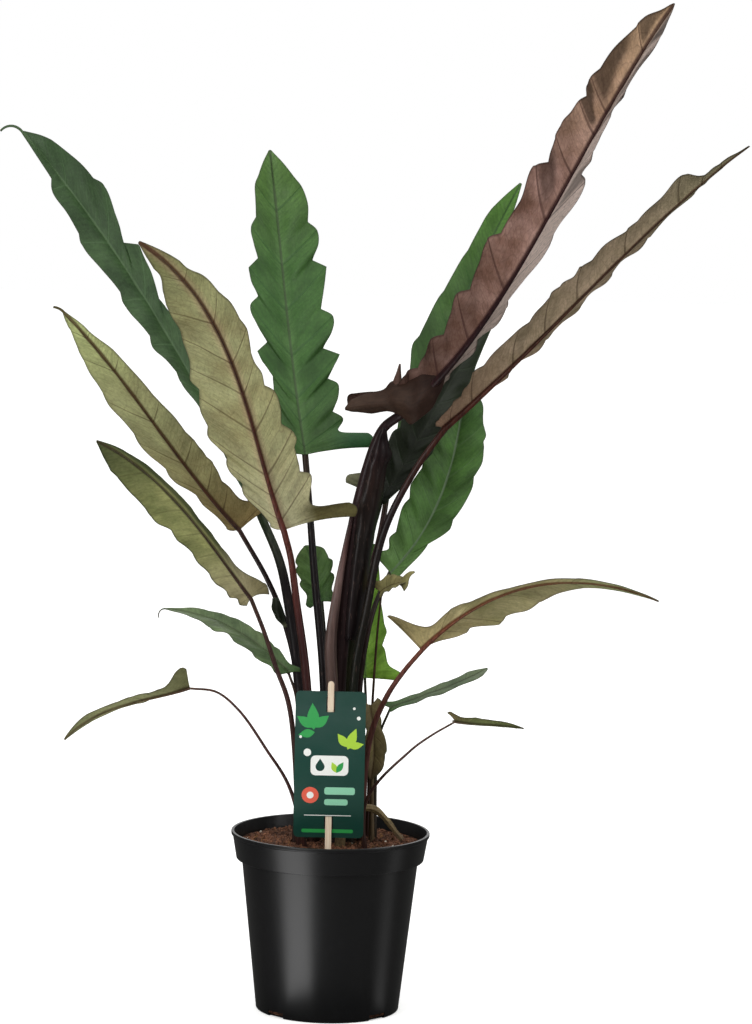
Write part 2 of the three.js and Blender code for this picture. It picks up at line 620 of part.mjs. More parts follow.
// Height of the soil's surface: a low mound round the plant with a few soft lumps
function soilHeight(x, y) {
  const outward = Math.min(Math.hypot(x, y) / rimRadius, 1);
  const broadLumps = Math.sin(x * 0.16 + 1.1) * Math.cos(y * 0.19 - 0.4);
  const lumps = broadLumps + 0.6 * Math.sin(x * 0.31 - y * 0.27);
  return soilLevel + soilMound * (1 - outward * outward) + soilRelief * lumps * (1 - outward ** 4);
}

function soilGeometry(holes) {
  const ledge = bandBottom + potWall + fitGap;
  const profile = [
    [0, potFloor + fitGap],
    [bodyInside(potFloor) - fitGap, potFloor + fitGap],
    [bodyInside(ledge) - fitGap, ledge],
    [bandInside(ledge) - fitGap, ledge],
    [bandInside(soilLevel) - fitGap - 0.4, soilLevel],
    ...[...soilRings].reverse().map((radius) => [radius, soilLevel]),
    [0, soilLevel],
  ];
  const geometry = lathe(profile, potSegments);
  const position = geometry.attributes.position;
  for (let i = 0; i < position.count; i += 1) {
    const onTop = Math.abs(position.getZ(i) - soilLevel) < 0.01;
    const inside = Math.hypot(position.getX(i), position.getY(i)) < soilRings[soilRings.length - 1] + 1;
    if (onTop && inside) position.setZ(i, soilHeight(position.getX(i), position.getY(i)));
  }
  let soil = toSolid(geometry);
  holes.forEach((hole) => {
    soil = soil.subtract(toSolid(hole));
  });
  return fromSolid(soil);
}

// How far the card stands off the stick's plane: it crosses that plane at both slots
function cardOffset(z) {
  const swing = Math.sin((Math.PI * (z - slots.lower)) / (slots.upper - slots.lower));
  return -card.bow * (swing < 0 ? swing * 0.9 : swing);
}

function cardGeometry() {
  const sheet = [];
  const faces = [];
  const half = card.width / 2 + 5;
  for (let i = 0; i <= card.steps; i += 1) {
    const z = THREE.MathUtils.lerp(card.bottom - 3, card.top + 3, i / card.steps);
    [-half, half].forEach((x) => {
      sheet.push(new THREE.Vector3(card.centreX + x, card.planeY + cardOffset(z), z));
    });
    if (i < card.steps) faces.push([2 * i, 2 * i + 1, 2 * i + 3], [2 * i, 2 * i + 3, 2 * i + 2]);
  }
  const edge = [0];
  for (let i = 0; i <= card.steps; i += 1) edge.push(2 * i + 1);
  for (let i = card.steps; i > 0; i -= 1) edge.push(2 * i);
  const bowed = toSolid(thickened(sheet, faces, edge, card.thickness));

  const outline = new THREE.Shape();
  const right = card.width / 2;
  const round = card.corner;
  outline.moveTo(round - right, card.bottom);
  outline.lineTo(right - round, card.bottom);
  outline.absarc(right - round, card.bottom + round, round, -Math.PI / 2, 0);
  outline.lineTo(right, card.top - round);
  outline.absarc(right - round, card.top - round, round, 0, Math.PI / 2);
  outline.lineTo(round - right, card.top);
  outline.absarc(round - right, card.top - round, round, Math.PI / 2, Math.PI);
  outline.lineTo(-right, card.bottom + round);
  outline.absarc(round - right, card.bottom + round, round, Math.PI, 1.5 * Math.PI);
  [slots.lower, slots.upper].forEach((middle) => {
    const hole = new THREE.Path();
    const halfWidth = slots.width / 2;
    const halfHeight = slots.height / 2;
    hole.moveTo(-halfWidth, middle - halfHeight);
    hole.lineTo(halfWidth, middle - halfHeight);
    hole.lineTo(halfWidth, middle + halfHeight);
    hole.lineTo(-halfWidth, middle + halfHeight);
    outline.holes.push(hole);
  });
  const depth = 4 * card.bow;
  const cutter = new THREE.ExtrudeGeometry(outline, { depth, bevelEnabled: false, curveSegments: 3 });
  cutter.rotateX(Math.PI / 2).translate(card.centreX, card.planeY + depth / 2, 0);
  return fromSolid(bowed.intersect(toSolid(outwardGeometry(cutter))));
}

function stickGeometry() {
  const half = stick.width / 2;
  const outline = new THREE.Shape();
  outline.moveTo(0, stick.bottom);
  outline.lineTo(half, stick.bottom + 8);
  outline.lineTo(half, stick.top - half);
  outline.absarc(0, stick.top - half, half, 0, Math.PI);
  outline.lineTo(-half, stick.bottom + 8);
  const settings = { depth: stick.thickness, bevelEnabled: false, curveSegments: 5 };
  const geometry = new THREE.ExtrudeGeometry(outline, settings);
  geometry.rotateX(Math.PI / 2).translate(stick.x, card.planeY + stick.thickness / 2, 0);
  return outwardGeometry(geometry);
}

function stickHole() {
  const top = soilLevel + 12;
  const bottom = stick.bottom - 1;
  const [width, thickness] = [stick.width + 2 * fitGap, stick.thickness + 2 * fitGap];
  const hole = new THREE.BoxGeometry(width, thickness, top - bottom);
  return outwardGeometry(hole.translate(stick.x, card.planeY, (top + bottom) / 2));
}

const plant = new THREE.Group();

function addPart(name, geometry, colour, roughness) {
  const material = new THREE.MeshStandardMaterial({ color: colour, roughness, metalness: 0 });
  const mesh = new THREE.Mesh(geometry, material);
  mesh.name = name;
  plant.add(mesh);
}

const stalks = leaves.map((leaf) => stalkPath(leaf));
const spentPath = spentStalkPath();

addPart('nursery_pot', potGeometry(), 0x1d1e21, 0.45);
const soilHoles = [...stalks.map(rootHole), rootHole(spentPath), stickHole()];
addPart('potting_soil', soilGeometry(soilHoles), 0x4a3226, 0.95);
addPart('care_card', cardGeometry(), 0x1f5140, 0.4);
addPart('card_stick', stickGeometry(), 0xd8c9a8, 0.7);
leaves.forEach((leaf, i) => {
  const { centres, radii, sides, spread } = stalks[i];
  addPart(`${leaf.name}_stalk`, tubeGeometry(centres, radii, sides, spread), colours[leaf.stalk], 0.4);
  addPart(`${leaf.name}_blade`, bladeGeometry(leaf), colours[leaf.blade], 0.5);
});
const spentGeometry = tubeGeometry(spentPath.centres, spentPath.radii, spentPath.sides);
addPart(spentStalk.name, spentGeometry, colours.stalkPale, 0.8);

export default plant;
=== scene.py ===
import math

import bmesh
import bpy
import numpy as np
from mathutils import Matrix, Vector, noise


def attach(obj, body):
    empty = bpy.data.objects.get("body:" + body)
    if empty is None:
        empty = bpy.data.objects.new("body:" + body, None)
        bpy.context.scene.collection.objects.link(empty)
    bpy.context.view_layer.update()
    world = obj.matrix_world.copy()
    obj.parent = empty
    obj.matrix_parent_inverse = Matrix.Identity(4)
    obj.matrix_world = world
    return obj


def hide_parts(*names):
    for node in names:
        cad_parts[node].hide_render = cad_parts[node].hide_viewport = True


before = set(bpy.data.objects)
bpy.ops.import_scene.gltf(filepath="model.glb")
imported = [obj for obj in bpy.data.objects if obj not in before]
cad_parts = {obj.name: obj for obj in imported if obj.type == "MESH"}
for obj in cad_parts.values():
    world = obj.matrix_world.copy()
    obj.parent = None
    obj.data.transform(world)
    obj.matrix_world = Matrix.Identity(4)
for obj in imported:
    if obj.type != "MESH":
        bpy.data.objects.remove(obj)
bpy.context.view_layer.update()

# Looks for a potted alocasia. The frame is in metres, +Z up, front at -Y.
# Sizes that repeat the part's own are in millimetres and are scaled by mm.
mm = 0.001
print("frame loaded")


def colour(text):
    # sRGB hex to linear, as the shaders read it
    parts = [int(text[i:i + 2], 16) / 255 for i in (1, 3, 5)]
    return (*(part / 12.92 if part < 0.04045 else ((part + 0.055) / 1.055) ** 2.4 for part in parts), 1.0)


def setInputs(tree, node, inputs):
    # An input takes a value, an output, or a node for the first output that it has in use
    for socket, value in inputs.items():
        if isinstance(value, bpy.types.Node):
            value = next(output for output in value.outputs if output.enabled)
        if isinstance(value, bpy.types.NodeSocket):
            tree.links.new(value, node.inputs[socket])
        else:
            node.inputs[socket].default_value = value


def addNode(tree, kind, inputs=None, **settings):
    # One node with its settings and links
    node = tree.nodes.new(kind)
    for name, value in settings.items():
        setattr(node, name, value)
    setInputs(tree, node, inputs or {})
    return node


def newMaterial(name):
    # A material, its tree and shader, and the place on the object as an output
    material = bpy.data.materials.new(name)
    material.use_nodes = True
    tree = material.node_tree
    place = addNode(tree, "ShaderNodeTexCoord").outputs["Object"]
    return material, tree, tree.nodes["Principled BSDF"], place


def newTree(name, sockets):
    # A Geometry Nodes tree with its named inputs, and the outputs of its input node
    tree = bpy.data.node_groups.new(name, "GeometryNodeTree")
    for socket, kind in (("Geometry", "Geometry"), *sockets, ("material", "Material")):
        tree.interface.new_socket(socket, in_out="INPUT", socket_type="NodeSocket" + kind)
    tree.interface.new_socket("Geometry", in_out="OUTPUT", socket_type="NodeSocketGeometry")
    return tree, addNode(tree, "NodeGroupInput").outputs


def closeTree(tree, given, shape):
    # Every tree ends in real geometry with its material
    whole = addNode(tree, "GeometryNodeRealizeInstances", {"Geometry": shape})
    painted = addNode(tree, "GeometryNodeSetMaterial", {"Geometry": whole, "Material": given["material"]})
    addNode(tree, "NodeGroupOutput", {0: painted})
    return tree


def newObject(name, data):
    thing = bpy.data.objects.new(name, data)
    bpy.context.scene.collection.objects.link(thing)
    return thing


def meshPiece(name, points, faces, materials=(), faceMaterials=None, smooth=True):
    # A mesh object at the origin, from points in millimetres
    mesh = bpy.data.meshes.new(name)
    mesh.from_pydata([tuple(point) for point in np.asarray(points) * mm], [], faces)
    for material in materials:
        mesh.materials.append(material)
    if faceMaterials is not None:
        mesh.polygons.foreach_set("material_index", np.asarray(faceMaterials, np.int32))
    mesh.polygons.foreach_set("use_smooth", [smooth] * len(mesh.polygons))
    mesh.update()
    return newObject(name, mesh)


def addAttribute(piece, name, values, kind="FLOAT"):
    # A number, vector or colour for each point
    field = {"FLOAT": "value", "FLOAT_VECTOR": "vector", "FLOAT_COLOR": "color"}[kind]
    layer = piece.data.attributes.new(name, kind, "POINT")
    layer.data.foreach_set(field, np.asarray(values, np.float32).ravel())


def plainMesh(name, source):
    # The evaluated shape of an object as a mesh of its own. The object is removed
    mesh = bpy.data.meshes.new_from_object(source.evaluated_get(bpy.context.evaluated_depsgraph_get()))
    mesh.name = name
    bpy.data.objects.remove(source)
    return mesh


def applyTree(name, source, tree, values):
    # Runs a tree on a piece with named inputs and keeps the result as a plain mesh
    modifier = source.modifiers.new(tree.name, "NODES")
    modifier.node_group = tree
    sockets = {item.name: item.identifier for item in tree.interface.items_tree if item.in_out == "INPUT"}
    for key, value in values.items():
        modifier[sockets[key]] = value
    return newObject(name, plainMesh(name, source))


def onPlant(piece, slot, *nodes):
    # Every piece rides on the one body, and may stand for nodes of the part
    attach(piece, "root")
    if nodes:
        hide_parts(*nodes)


# Petiole paths and leaf outlines, in millimetres, as the part has them.
# rib: four points that the midrib passes through; face: which way the upper side looks at base and tip
# fold: how far each half rises from that face, in degrees; tail: a thread past the tip, and how far it turns
# right, left: (along the rib, half width, and for some teeth their notch depth), the first three for the lobe
# stem: root and points on the way up; radii: at the root, midway and at the blade
leaves = {
    "leaf_01": {
        "rib": [(-65, 30, 428), (-132, 83, 541), (-214, 131, 661), (-289, 155, 751)],
        "face": ((0.65, -0.66, 0.4), (0.1, -1, 0.3)), "fold": (20, 20), "notch": 0.12, "wave": 4,
        "tail": (22, 95),
        "right": [(-14, 24), (-4, 26), (16, 20), (58, 26), (103, 27), (153, 20), (210, 12), (270, 22, 0.5),
                  (332, 27, 0.15), (384, 17)],
        "left": [(-6, 18), (4, 19), (18, 16), (56, 13), (97, 13), (138, 16), (178, 24, 0.15),
                 (228, 25, 0.15), (296, 25, 0.17), (354, 15, 0.45)],
        "stem": [(-16, 8), (-30, 12, 284), (-41, 16, 354), (-49, 19, 387)], "radii": (6.5, 4.7, 3.6),
    },
    "leaf_02": {
        "rib": [(-44, -41, 420), (-73, -86, 518), (-110, -135, 610), (-162, -177, 665)],
        "face": ((0, 1, 0.3), (0, 1, 0.2)), "fold": (14, 14), "notch": 0.06, "wave": 3,
        "right": [(2, 6), (8, 10), (20, 15), (42, 25), (69, 32), (99, 41), (137, 38), (169, 36), (201, 31),
                  (232, 28), (272, 12)],
        "left": [(-14, 61), (0, 60), (14, 29), (43, 36, 0.22), (66, 29, 0), (88, 31, 0.23), (128, 26, 0.25),
                 (160, 18, 0), (190, 23, 0.08), (232, 17, 0.04), (262, 9, 0.05)],
        "stem": [(-12, -8), (-23, -15, 288), (-33, -20, 358), (-38, -25, 393)], "radii": (6, 3.7, 2.7),
    },
    "leaf_03": {
        "rib": [(-83, 0, 415), (-128, -28, 470), (-173, -58, 533), (-229, -91, 603)],
        "face": ((0.1, 1, 0.3), (0.1, 1, 0.3)), "fold": (20, 20), "notch": 0.08, "wave": 3,
        "tail": (10, 40),
        "right": [(2, 6), (8, 9), (20, 9), (40, 12), (73, 21), (115, 26), (162, 27), (209, 18), (237, 8)],
        "left": [(-3, 27), (8, 27), (20, 19), (40, 18), (66, 20), (95, 19), (141, 15), (195, 11), (227, 5)],
        "stem": [(-26, 18), (-32, 27, 283), (-45, 26, 336), (-59, 19, 370)], "radii": (4, 2.6, 2),
    },
    "leaf_04": {
        "rib": [(-71, -37, 361), (-103, -66, 407), (-143, -94, 457), (-198, -119, 499)],
        "face": ((0.1, 1, 0.3), (0.1, 1, 0.3)), "fold": (12, 72), "notch": 0.05, "wave": 3,
        "right": [(-6, 8), (-1, 13), (4, 12), (9, 17), (32, 20), (58, 21), (86, 24), (118, 28), (169, 21)],
        "left": [(-20, 22), (-9, 25), (10, 17), (30, 10), (58, 9), (86, 9), (111, 10), (140, 9), (175, 7)],
        "stem": [(-24, -16), (-37, -24, 266), (-49, -30, 301), (-60, -34, 333)], "radii": (3.4, 2.2, 1.8),
    },
    "leaf_05": {
        "rib": [(-38, -7, 293), (-64, 5, 314), (-104, 23, 333), (-148, 39, 340)],
        "face": ((-0.2, -0.3, 1), (-0.1, -0.5, 1)), "fold": (20, 20), "wave": 2, "tail": (11, 110),
        "right": [(-5, 8), (0, 9), (6, 6), (21, 9), (43, 11), (67, 11), (97, 7)],
        "left": [(2, 16), (8, 18), (14, 15), (26, 22), (54, 21), (80, 20), (107, 9)],
        "stem": [(-31, -3), (-30, -7, 240), (-32, -10, 274)], "radii": (2.6, 1.6, 1.2),
    },
    "leaf_06": {
        "rib": [(-120, -76, 289), (-140, -88, 284), (-177, -101, 275), (-222, -107, 247)],
        "face": ((-0.2, 0.8, 1), (-0.1, 0.8, 1)), "fold": (20, 20), "wave": 1.5,
        "right": [(-3, 11), (3, 12), (10, 9), (22, 10), (50, 10), (91, 7)],
        "left": [(6, 22), (15, 22), (24, 11), (33, 8), (56, 7), (93, 7)],
        "stem": [(-15, -25), (-35, -37, 198), (-55, -51, 233), (-79, -65, 269), (-98, -71, 285)],
        "radii": (2.4, 1.3, 1),
    },
    "leaf_07": {
        "rib": [(-29, 44, 477), (-43, 86, 557), (-55, 131, 641), (-68, 155, 739)],
        "face": ((0.05, -1, 0.35), (0.05, -1, 0.2)), "fold": (16, 16), "notch": 0.22, "wave": 4,
        "right": [(-6, 58), (7, 58), (15, 32), (25, 38), (59, 38), (87, 43, 0.33), (125, 41, 0.25),
                  (175, 40, 0.3), (211, 35), (254, 25)],
        "left": [(2, 12), (8, 15), (16, 15), (36, 20), (66, 20, 0.02), (99, 31, 0.32), (144, 33, 0.24),
                 (181, 31, 0.3), (221, 25), (261, 17)],
        "stem": [(-3, 14), (-9, 20, 283), (-19, 30, 376), (-25, 39, 438)], "radii": (5.5, 3.5, 2.8),
    },
    "leaf_08": {
        "rib": [(53, -17, 521), (116, -80, 597), (182, -144, 717), (261, -207, 863)],
        "face": ((-0.2, 1, 0.3), (-0.2, 1, 0.3)), "fold": (14, 50), "notch": 0.24, "wave": 5, "ruffle": 4,
        # painted shade in the folds past its teeth, darkest on the upper teeth
        "paintedFoldShades": (0.1, 0.1, 0.2, 0.1, 0.8, 0.3, 1.6, 1.15, 1.8),
        "right": [(-36, 31), (-21, 38), (10, 20), (37, 22), (83, 26), (135, 32), (194, 34), (273, 30, 0.27),
                  (303, 27, 0.02), (338, 24, 0.17), (361, 26, 0.14), (417, 15, 0.15)],
        "left": [(-14, 24), (-6, 27), (12, 24), (42, 26), (83, 29), (133, 30), (203, 37, 0.1),
                 (265, 38, 0.4), (303, 16, 0.02), (338, 11, 0.05), (361, 13, 0.02), (415, 16, 0.2)],
        "stem": [(3, -1), (4, 0, 278), (12, -3, 391), (19, -6, 443), (37, -11, 504)], "radii": (8, 6.6, 4),
    },
    "leaf_09": {
        "rib": [(45, 61, 456), (80, 102, 545), (117, 144, 633), (157, 177, 714)],
        "face": ((0.1, -1, 0.3), (0.1, -1, 0.3)), "fold": (16, 16), "notch": 0.1, "wave": 3,
        "right": [(-2, 8), (4, 11), (14, 12), (38, 22), (79, 25), (122, 27), (172, 22), (217, 14),
                  (256, 9)],
        "left": [(4, 13), (11, 14), (20, 9), (35, 12), (78, 19), (122, 27), (171, 22), (215, 17),
                 (261, 14)],
        "stem": [(2, 28), (6, 34, 299), (22, 40, 354), (36, 48, 401)], "radii": (4.5, 3.2, 2.4),
    },
    "leaf_10": {
        "rib": [(89, -3, 507), (169, -25, 586), (249, -52, 671), (336, -80, 752)],
        "face": ((-0.6, 0.8, 0.6), (-0.6, 0.8, 0.6)), "fold": (5, 30), "notch": 0.14, "wave": 4,
        "ruffle": 2.5,
        "right": [(-3, 8), (3, 11), (10, 12), (24, 15), (58, 27), (113, 27), (154, 29), (189, 28),
                  (238, 20), (300, 24), (313, 8), (331, 5)],
        "left": [(-4, 10), (3, 14), (12, 14), (28, 18), (68, 27), (113, 30), (153, 31), (193, 28),
                 (240, 19), (296, 8), (312, 4), (331, 3)],
        "stem": [(16, -10), (18, -10, 292), (27, -11, 349), (41, -8, 418), (66, -6, 470)],
        "radii": (5, 3.6, 2.6),
    },
    "leaf_11": {
        "rib": [(37, 19, 442), (68, 33, 493), (99, 50, 549), (134, 66, 599)],
        "face": ((0.1, -1, 0.3), (0.1, -1, 0.3)), "fold": (12, 10), "wave": 3,
        "right": [(-2, 4), (4, 6), (12, 8), (33, 13), (59, 17), (83, 19), (118, 18), (143, 12)],
        "left": [(-6, 33), (4, 32), (18, 20), (33, 22), (57, 22), (81, 20), (114, 16), (145, 10)],
        "stem": [(11, 12), (13, 15, 285), (21, 16, 355), (26, 18, 398)], "radii": (6.5, 5, 3),
    },
    "leaf_12": {
        "rib": [(47, 57, 374), (87, 86, 432), (105, 116, 495), (111, 135, 555)],
        "face": ((0.2, -1, 0.35), (0.2, -1, 0.3)), "fold": (16, 16), "notch": 0.07, "wave": 3,
        "right": [(-2, 5), (3, 8), (12, 8), (37, 10), (60, 20), (102, 24), (137, 25), (158, 21), (185, 13)],
        "left": [(0, 18), (6, 20), (14, 16), (23, 22), (58, 28), (93, 28), (124, 25), (153, 20), (182, 12)],
        "stem": [(22, 22), (23, 29, 283), (33, 39, 343)], "radii": (4, 2.6, 2.2),
    },
    "leaf_13": {
        "rib": [(39, 13, 362), (46, 12, 367), (54, 11, 370), (62, 8, 372)],
        "face": ((0.1, -0.6, 1), (0.1, -0.6, 1)), "fold": (25, 25), "wave": 4,
        "right": [(-2, 9), (2, 11), (5, 9), (10, 13), (18, 9)],
        "left": [(-2, 8), (2, 11), (5, 9), (11, 12), (18, 8)],
        "stem": [(31, 24), (34, 26, 267), (37, 19, 329)], "radii": (1.8, 1.2, 0.9),
    },
    "leaf_14": {
        "rib": [(-12, 53, 348), (-16, 58, 362), (-21, 63, 379), (-28, 69, 395)],
        "face": ((0, -1, 0.3), (0, -1, 0.3)), "fold": (14, 14), "wave": 1.5,
        "right": [(-4, 10), (2, 12), (8, 11), (20, 16), (32, 18), (43, 14)],
        "left": [(-4, 12), (2, 14), (8, 12), (19, 16), (33, 16), (44, 12)],
        "stem": [(-12, 28), (-8, 39, 249), (-9, 49, 319)], "radii": (2.4, 1.5, 1.2),
    },
    "leaf_15": {
        "rib": [(27, 42, 283), (27, 51, 316), (29, 64, 354), (32, 77, 397)],
        "face": ((0.1, -1, 0.2), (0.1, -1, 0.2)), "fold": (14, 14), "wave": 2,
        "right": [(-3, 30), (5, 30), (11, 21), (25, 17), (41, 18), (71, 10), (100, 6)],
        "left": [(-4, 12), (4, 14), (11, 13), (26, 12), (47, 13), (73, 10), (100, 6)],
        "stem": [(16, 36), (24, 40, 219), (28, 40, 254)], "radii": (2.6, 1.5, 1.2),
    },
    "leaf_16": {
        "rib": [(74, -38, 320), (119, -69, 361), (175, -104, 386), (268, -130, 377)],
        "face": ((-0.1, 0.8, 0.6), (0.1, 0.6, 0.8)), "fold": (4, 8), "notch": 0.1, "wave": 2.5,
        "right": [(12, 47), (14, 45), (23, 12), (51, 12), (78, 8), (112, 5), (171, 6)],
        "left": [(2, 2.5), (5, 3.5), (10, 4), (37, 20), (66, 35), (120, 27), (171, 9)],
        "stem": [(25, 2), (32, -14, 237), (46, -24, 277), (60, -31, 300)], "radii": (4, 2.6, 2),
    },
    "leaf_17": {
        "rib": [(49, 17, 261), (79, 24, 271), (108, 37, 281), (134, 52, 292)],
        "face": ((-0.3, -0.7, 1), (-0.3, -0.7, 1)), "fold": (20, 20), "wave": 2,
        "right": [(-2, 7), (2, 8), (8, 6), (25, 8), (53, 9), (86, 9)],
        "left": [(-8, 7), (-4, 8), (6, 5), (23, 5), (51, 6), (82, 6)],
        "stem": [(38, 14), (38, 18, 205), (40, 18, 235)], "radii": (2.4, 1.5, 1.1),
    },
    "leaf_18": {
        "rib": [(104, -50, 261), (121, -57, 260), (141, -64, 260), (162, -71, 259)],
        "face": ((0, 0.8, 1), (0, 0.8, 1)), "fold": (20, 20), "wave": 1.5,
        "right": [(-6, 8), (0, 9), (7, 6), (20, 7), (45, 5)],
        "left": [(-8, 12), (-1, 13), (7, 7), (21, 7), (45, 5)],
        "stem": [(33, -27), (30, -28, 186), (66, -39, 232), (84, -44, 247)], "radii": (2.4, 1.2, 0.9),
    },
    "leaf_19": {
        "rib": [(32, 1, 265), (35, 1, 243), (36, 1, 222), (33, 1, 200)],
        "face": ((0.3, -1, 0.3), (0.3, -1, 0)), "fold": (20, 20), "wave": 2,
        "right": [(-6, 7), (0, 9), (6, 7), (16, 8), (36, 10), (52, 8)],
        "left": [(-6, 7), (0, 9), (6, 7), (14, 8), (39, 11), (53, 9)],
        "stem": [(36, 4), (35, 9, 190), (35, 9, 235)], "radii": (2.6, 1.6, 1.1),
    },
}

# What a leaf has where its own entry doesn't say. notch: how deep, as a share of the half width there
# ruffle: how far the edge rolls over; and, tooth by tooth, how dark the shade painted in the fold past each
# tooth is
leafDefaults = {"notch": 0.15, "ruffle": 1.5, "tail": (0, 0), "paintedFoldShades": (0.8, 0.3, 0.9, 0.2, 0.6)}

# Lengths in millimetres. A phase runs from one tooth to the next, and below 0 on the basal lobe
leafShape = {
    "thickness": 0.62, "edgeThinning": 0.45, "edgeBulge": 0.35, "rowSpacing": 3.0, "rowsInStretch": (3, 16),
    "leastRowStart": 2.2, "sideVeinSweep": 1.1, "sideVeinBow": 0.25, "lobePhases": (-1, -0.85, -0.45),
    "lobeBulge": 0.3, "notchPhase": 0.12, "middlePhase": 0.56, "notchShare": 0.24, "notchRun": (1.2, 9),
    "pointedFrom": 0.3, "marginBulge": 0.06, "unevenness": 0.05, "tipHalfWidth": 1.1, "tailSteps": 3,
    "arch": 0.07, "fullWidth": 20, "quilting": 1.2, "rollVariation": 0.6, "crinkle": 0.7, "crinkleSize": 18,
    # the fold shade start and fade: where the painted shade past each tooth begins, and how far it fades, in
    # phases
    "scrapCrinkleSize": 7, "veinWidth": 0.9, "lobeVein": -0.92, "toothSpacing": (5, 60), "paintedFoldShadeStart": 0.06,
    "paintedFoldShadeFade": 0.45, "soilLevel": 144, "stalkDepth": 26,
}
# Where a blade's points lie between the rib, 0, and the margin, 1
columnShares = np.array([0, 0.05, 0.12, 0.2, 0.3, 0.4, 0.5, 0.6, 0.7, 0.79, 0.87, 0.93, 0.97, 1])


def unit(vectors):
    return vectors / np.maximum(np.linalg.norm(vectors, axis=-1, keepdims=True), 1e-9)


def smoothStep(value, low, high):
    share = np.clip((value - low) / (high - low), 0, 1)
    return share * share * (3 - 2 * share)


def hermite(start, end, startPull, endPull, t):
    # A curve between two points with the pull of its ends
    return (start * (2 * t ** 3 - 3 * t ** 2 + 1) + startPull * (t ** 3 - 2 * t ** 2 + t)
            + end * (3 * t ** 2 - 2 * t ** 3) + endPull * (t ** 3 - t ** 2))


def lengthTable(line):
    reach = np.concatenate([[0], np.cumsum(np.linalg.norm(np.diff(line, axis=0), axis=1))])
    return {"line": line, "reach": reach, "length": reach[-1], "tangents": unit(np.gradient(line, axis=0))}


def pointsAt(curve, lengths, what="line"):
    return np.stack([np.interp(lengths, curve["reach"], curve[what][:, i]) for i in range(3)], axis=-1)


def fourPointCurve(points, samples=400):
    # A smooth curve through four points, timed by the distances between them
    points = np.array(points, float)
    reach = np.concatenate([[0], np.cumsum(np.linalg.norm(np.diff(points, axis=0), axis=1))])
    times = reach / reach[-1]
    t = np.linspace(0, 1, samples)
    line = np.zeros((samples, 3))
    for i in range(4):
        weight = np.ones(samples)
        for j in range(4):
            if j != i:
                weight *= (t - times[j]) / (times[i] - times[j])
        line += weight[:, None] * points[i]
    return lengthTable(line)


def catmullRom(points, samplesPerSpan=60):
    # The centripetal curve through points that the part's stalks follow
    points = [np.array(point, float) for point in points]
    points = [2 * points[0] - points[1], *points, 2 * points[-1] - points[-2]]
    line = []
    for p0, p1, p2, p3 in zip(points, points[1:], points[2:], points[3:]):
        d0, d1, d2 = (np.linalg.norm(b - a) ** 0.5 for a, b in ((p0, p1), (p1, p2), (p2, p3)))
        startPull = ((p1 - p0) / d0 - (p2 - p0) / (d0 + d1) + (p2 - p1) / d1) * d1
        endPull = ((p2 - p1) / d1 - (p3 - p1) / (d1 + d2) + (p3 - p2) / d2) * d1
        t = np.linspace(0, 1, samplesPerSpan, endpoint=False)[:, None]
        line.append(hermite(p1, p2, startPull, endPull, t))
    return lengthTable(np.concatenate([*line, [points[-2]]]))


def ribFrames(leaf, along):
    # Point, upward direction and sideways direction of the blade along its rib, which runs straight on
    # past the base and turns down past the tip
    rib = leaf["curve"]
    inside = np.clip(along, 0, rib["length"])
    origin = pointsAt(rib, inside)
    tangent = unit(pointsAt(rib, inside, "tangents"))

    def squared(vector):
        return unit(vector - tangent * np.sum(vector * tangent, axis=-1, keepdims=True))

    baseFace, tipFace = (unit(np.array(side, float)) for side in leaf["face"])
    normal = squared(baseFace + (tipFace - baseFace) * (inside / rib["length"])[..., None])
    past = (along - inside)[..., None]
    tailLength, tailTurn = leaf["tail"]
    if not tailLength:
        return origin + tangent * past, normal, np.cross(tangent, normal)
    bend = tailLength / math.radians(tailTurn)
    turn = np.maximum(past, 0) / bend
    down = squared(np.array([0, 0, -1.0]) + 0 * tangent)
    origin = origin + np.where(past > 0, tangent * bend * np.sin(turn) + down * bend * (1 - np.cos(turn)),
                               tangent * past)
    axis = np.cross(tangent, down)
    turned = tangent * np.cos(turn) + down * np.sin(turn)
    onAxis = np.sum(axis * normal, axis=-1, keepdims=True)
    swung = np.cross(axis, normal) * np.sin(turn)
    normal = normal * np.cos(turn) + swung + axis * onAxis * (1 - np.cos(turn))
    return origin, normal, np.cross(turned, normal)


def marginPoints(leaf, side, steps):
    # (along, half width, tooth phase): the lobe, then a tip, a notch and a midpoint for each tooth,
    # and the tail. A deep notch has a pointed tooth
    lobe, teeth = leaf[side][:3], leaf[side][3:]
    length, tip = leaf["curve"]["length"], leafShape["tipHalfWidth"]
    leastRun, mostRun = leafShape["notchRun"]
    points = [(*point, phase) for point, phase in zip(lobe, leafShape["lobePhases"])]
    sharp = [True, True, False]
    for i, (along, width, *ownDepth) in enumerate(teeth):
        nextAlong, nextWidth = teeth[i + 1][:2] if i + 1 < len(teeth) else (length, tip)
        depth = ownDepth[0] if ownDepth else leaf["notch"]
        notchAlong = along + min(max((nextAlong - along) * leafShape["notchShare"], leastRun), mostRun)
        notchWidth = width * (1 - depth)
        middle = (notchWidth + nextWidth) / 2 * (1 + leafShape["marginBulge"])
        middle *= 1 + leafShape["unevenness"] * math.sin(i * 4.7 + width)
        points += [(along, width, i), (notchAlong, notchWidth, i + leafShape["notchPhase"]),
                   ((notchAlong + nextAlong) / 2, middle, i + leafShape["middlePhase"])]
        sharp += [depth >= leafShape["pointedFrom"], True, False]
    points.append((length - 0.5, tip, len(teeth)))
    points += [(length + leaf["tail"][0] * i / steps, tip, len(teeth)) for i in range(1, steps + 1)]
    return np.array(points, float), sharp + [True] * (1 + steps)


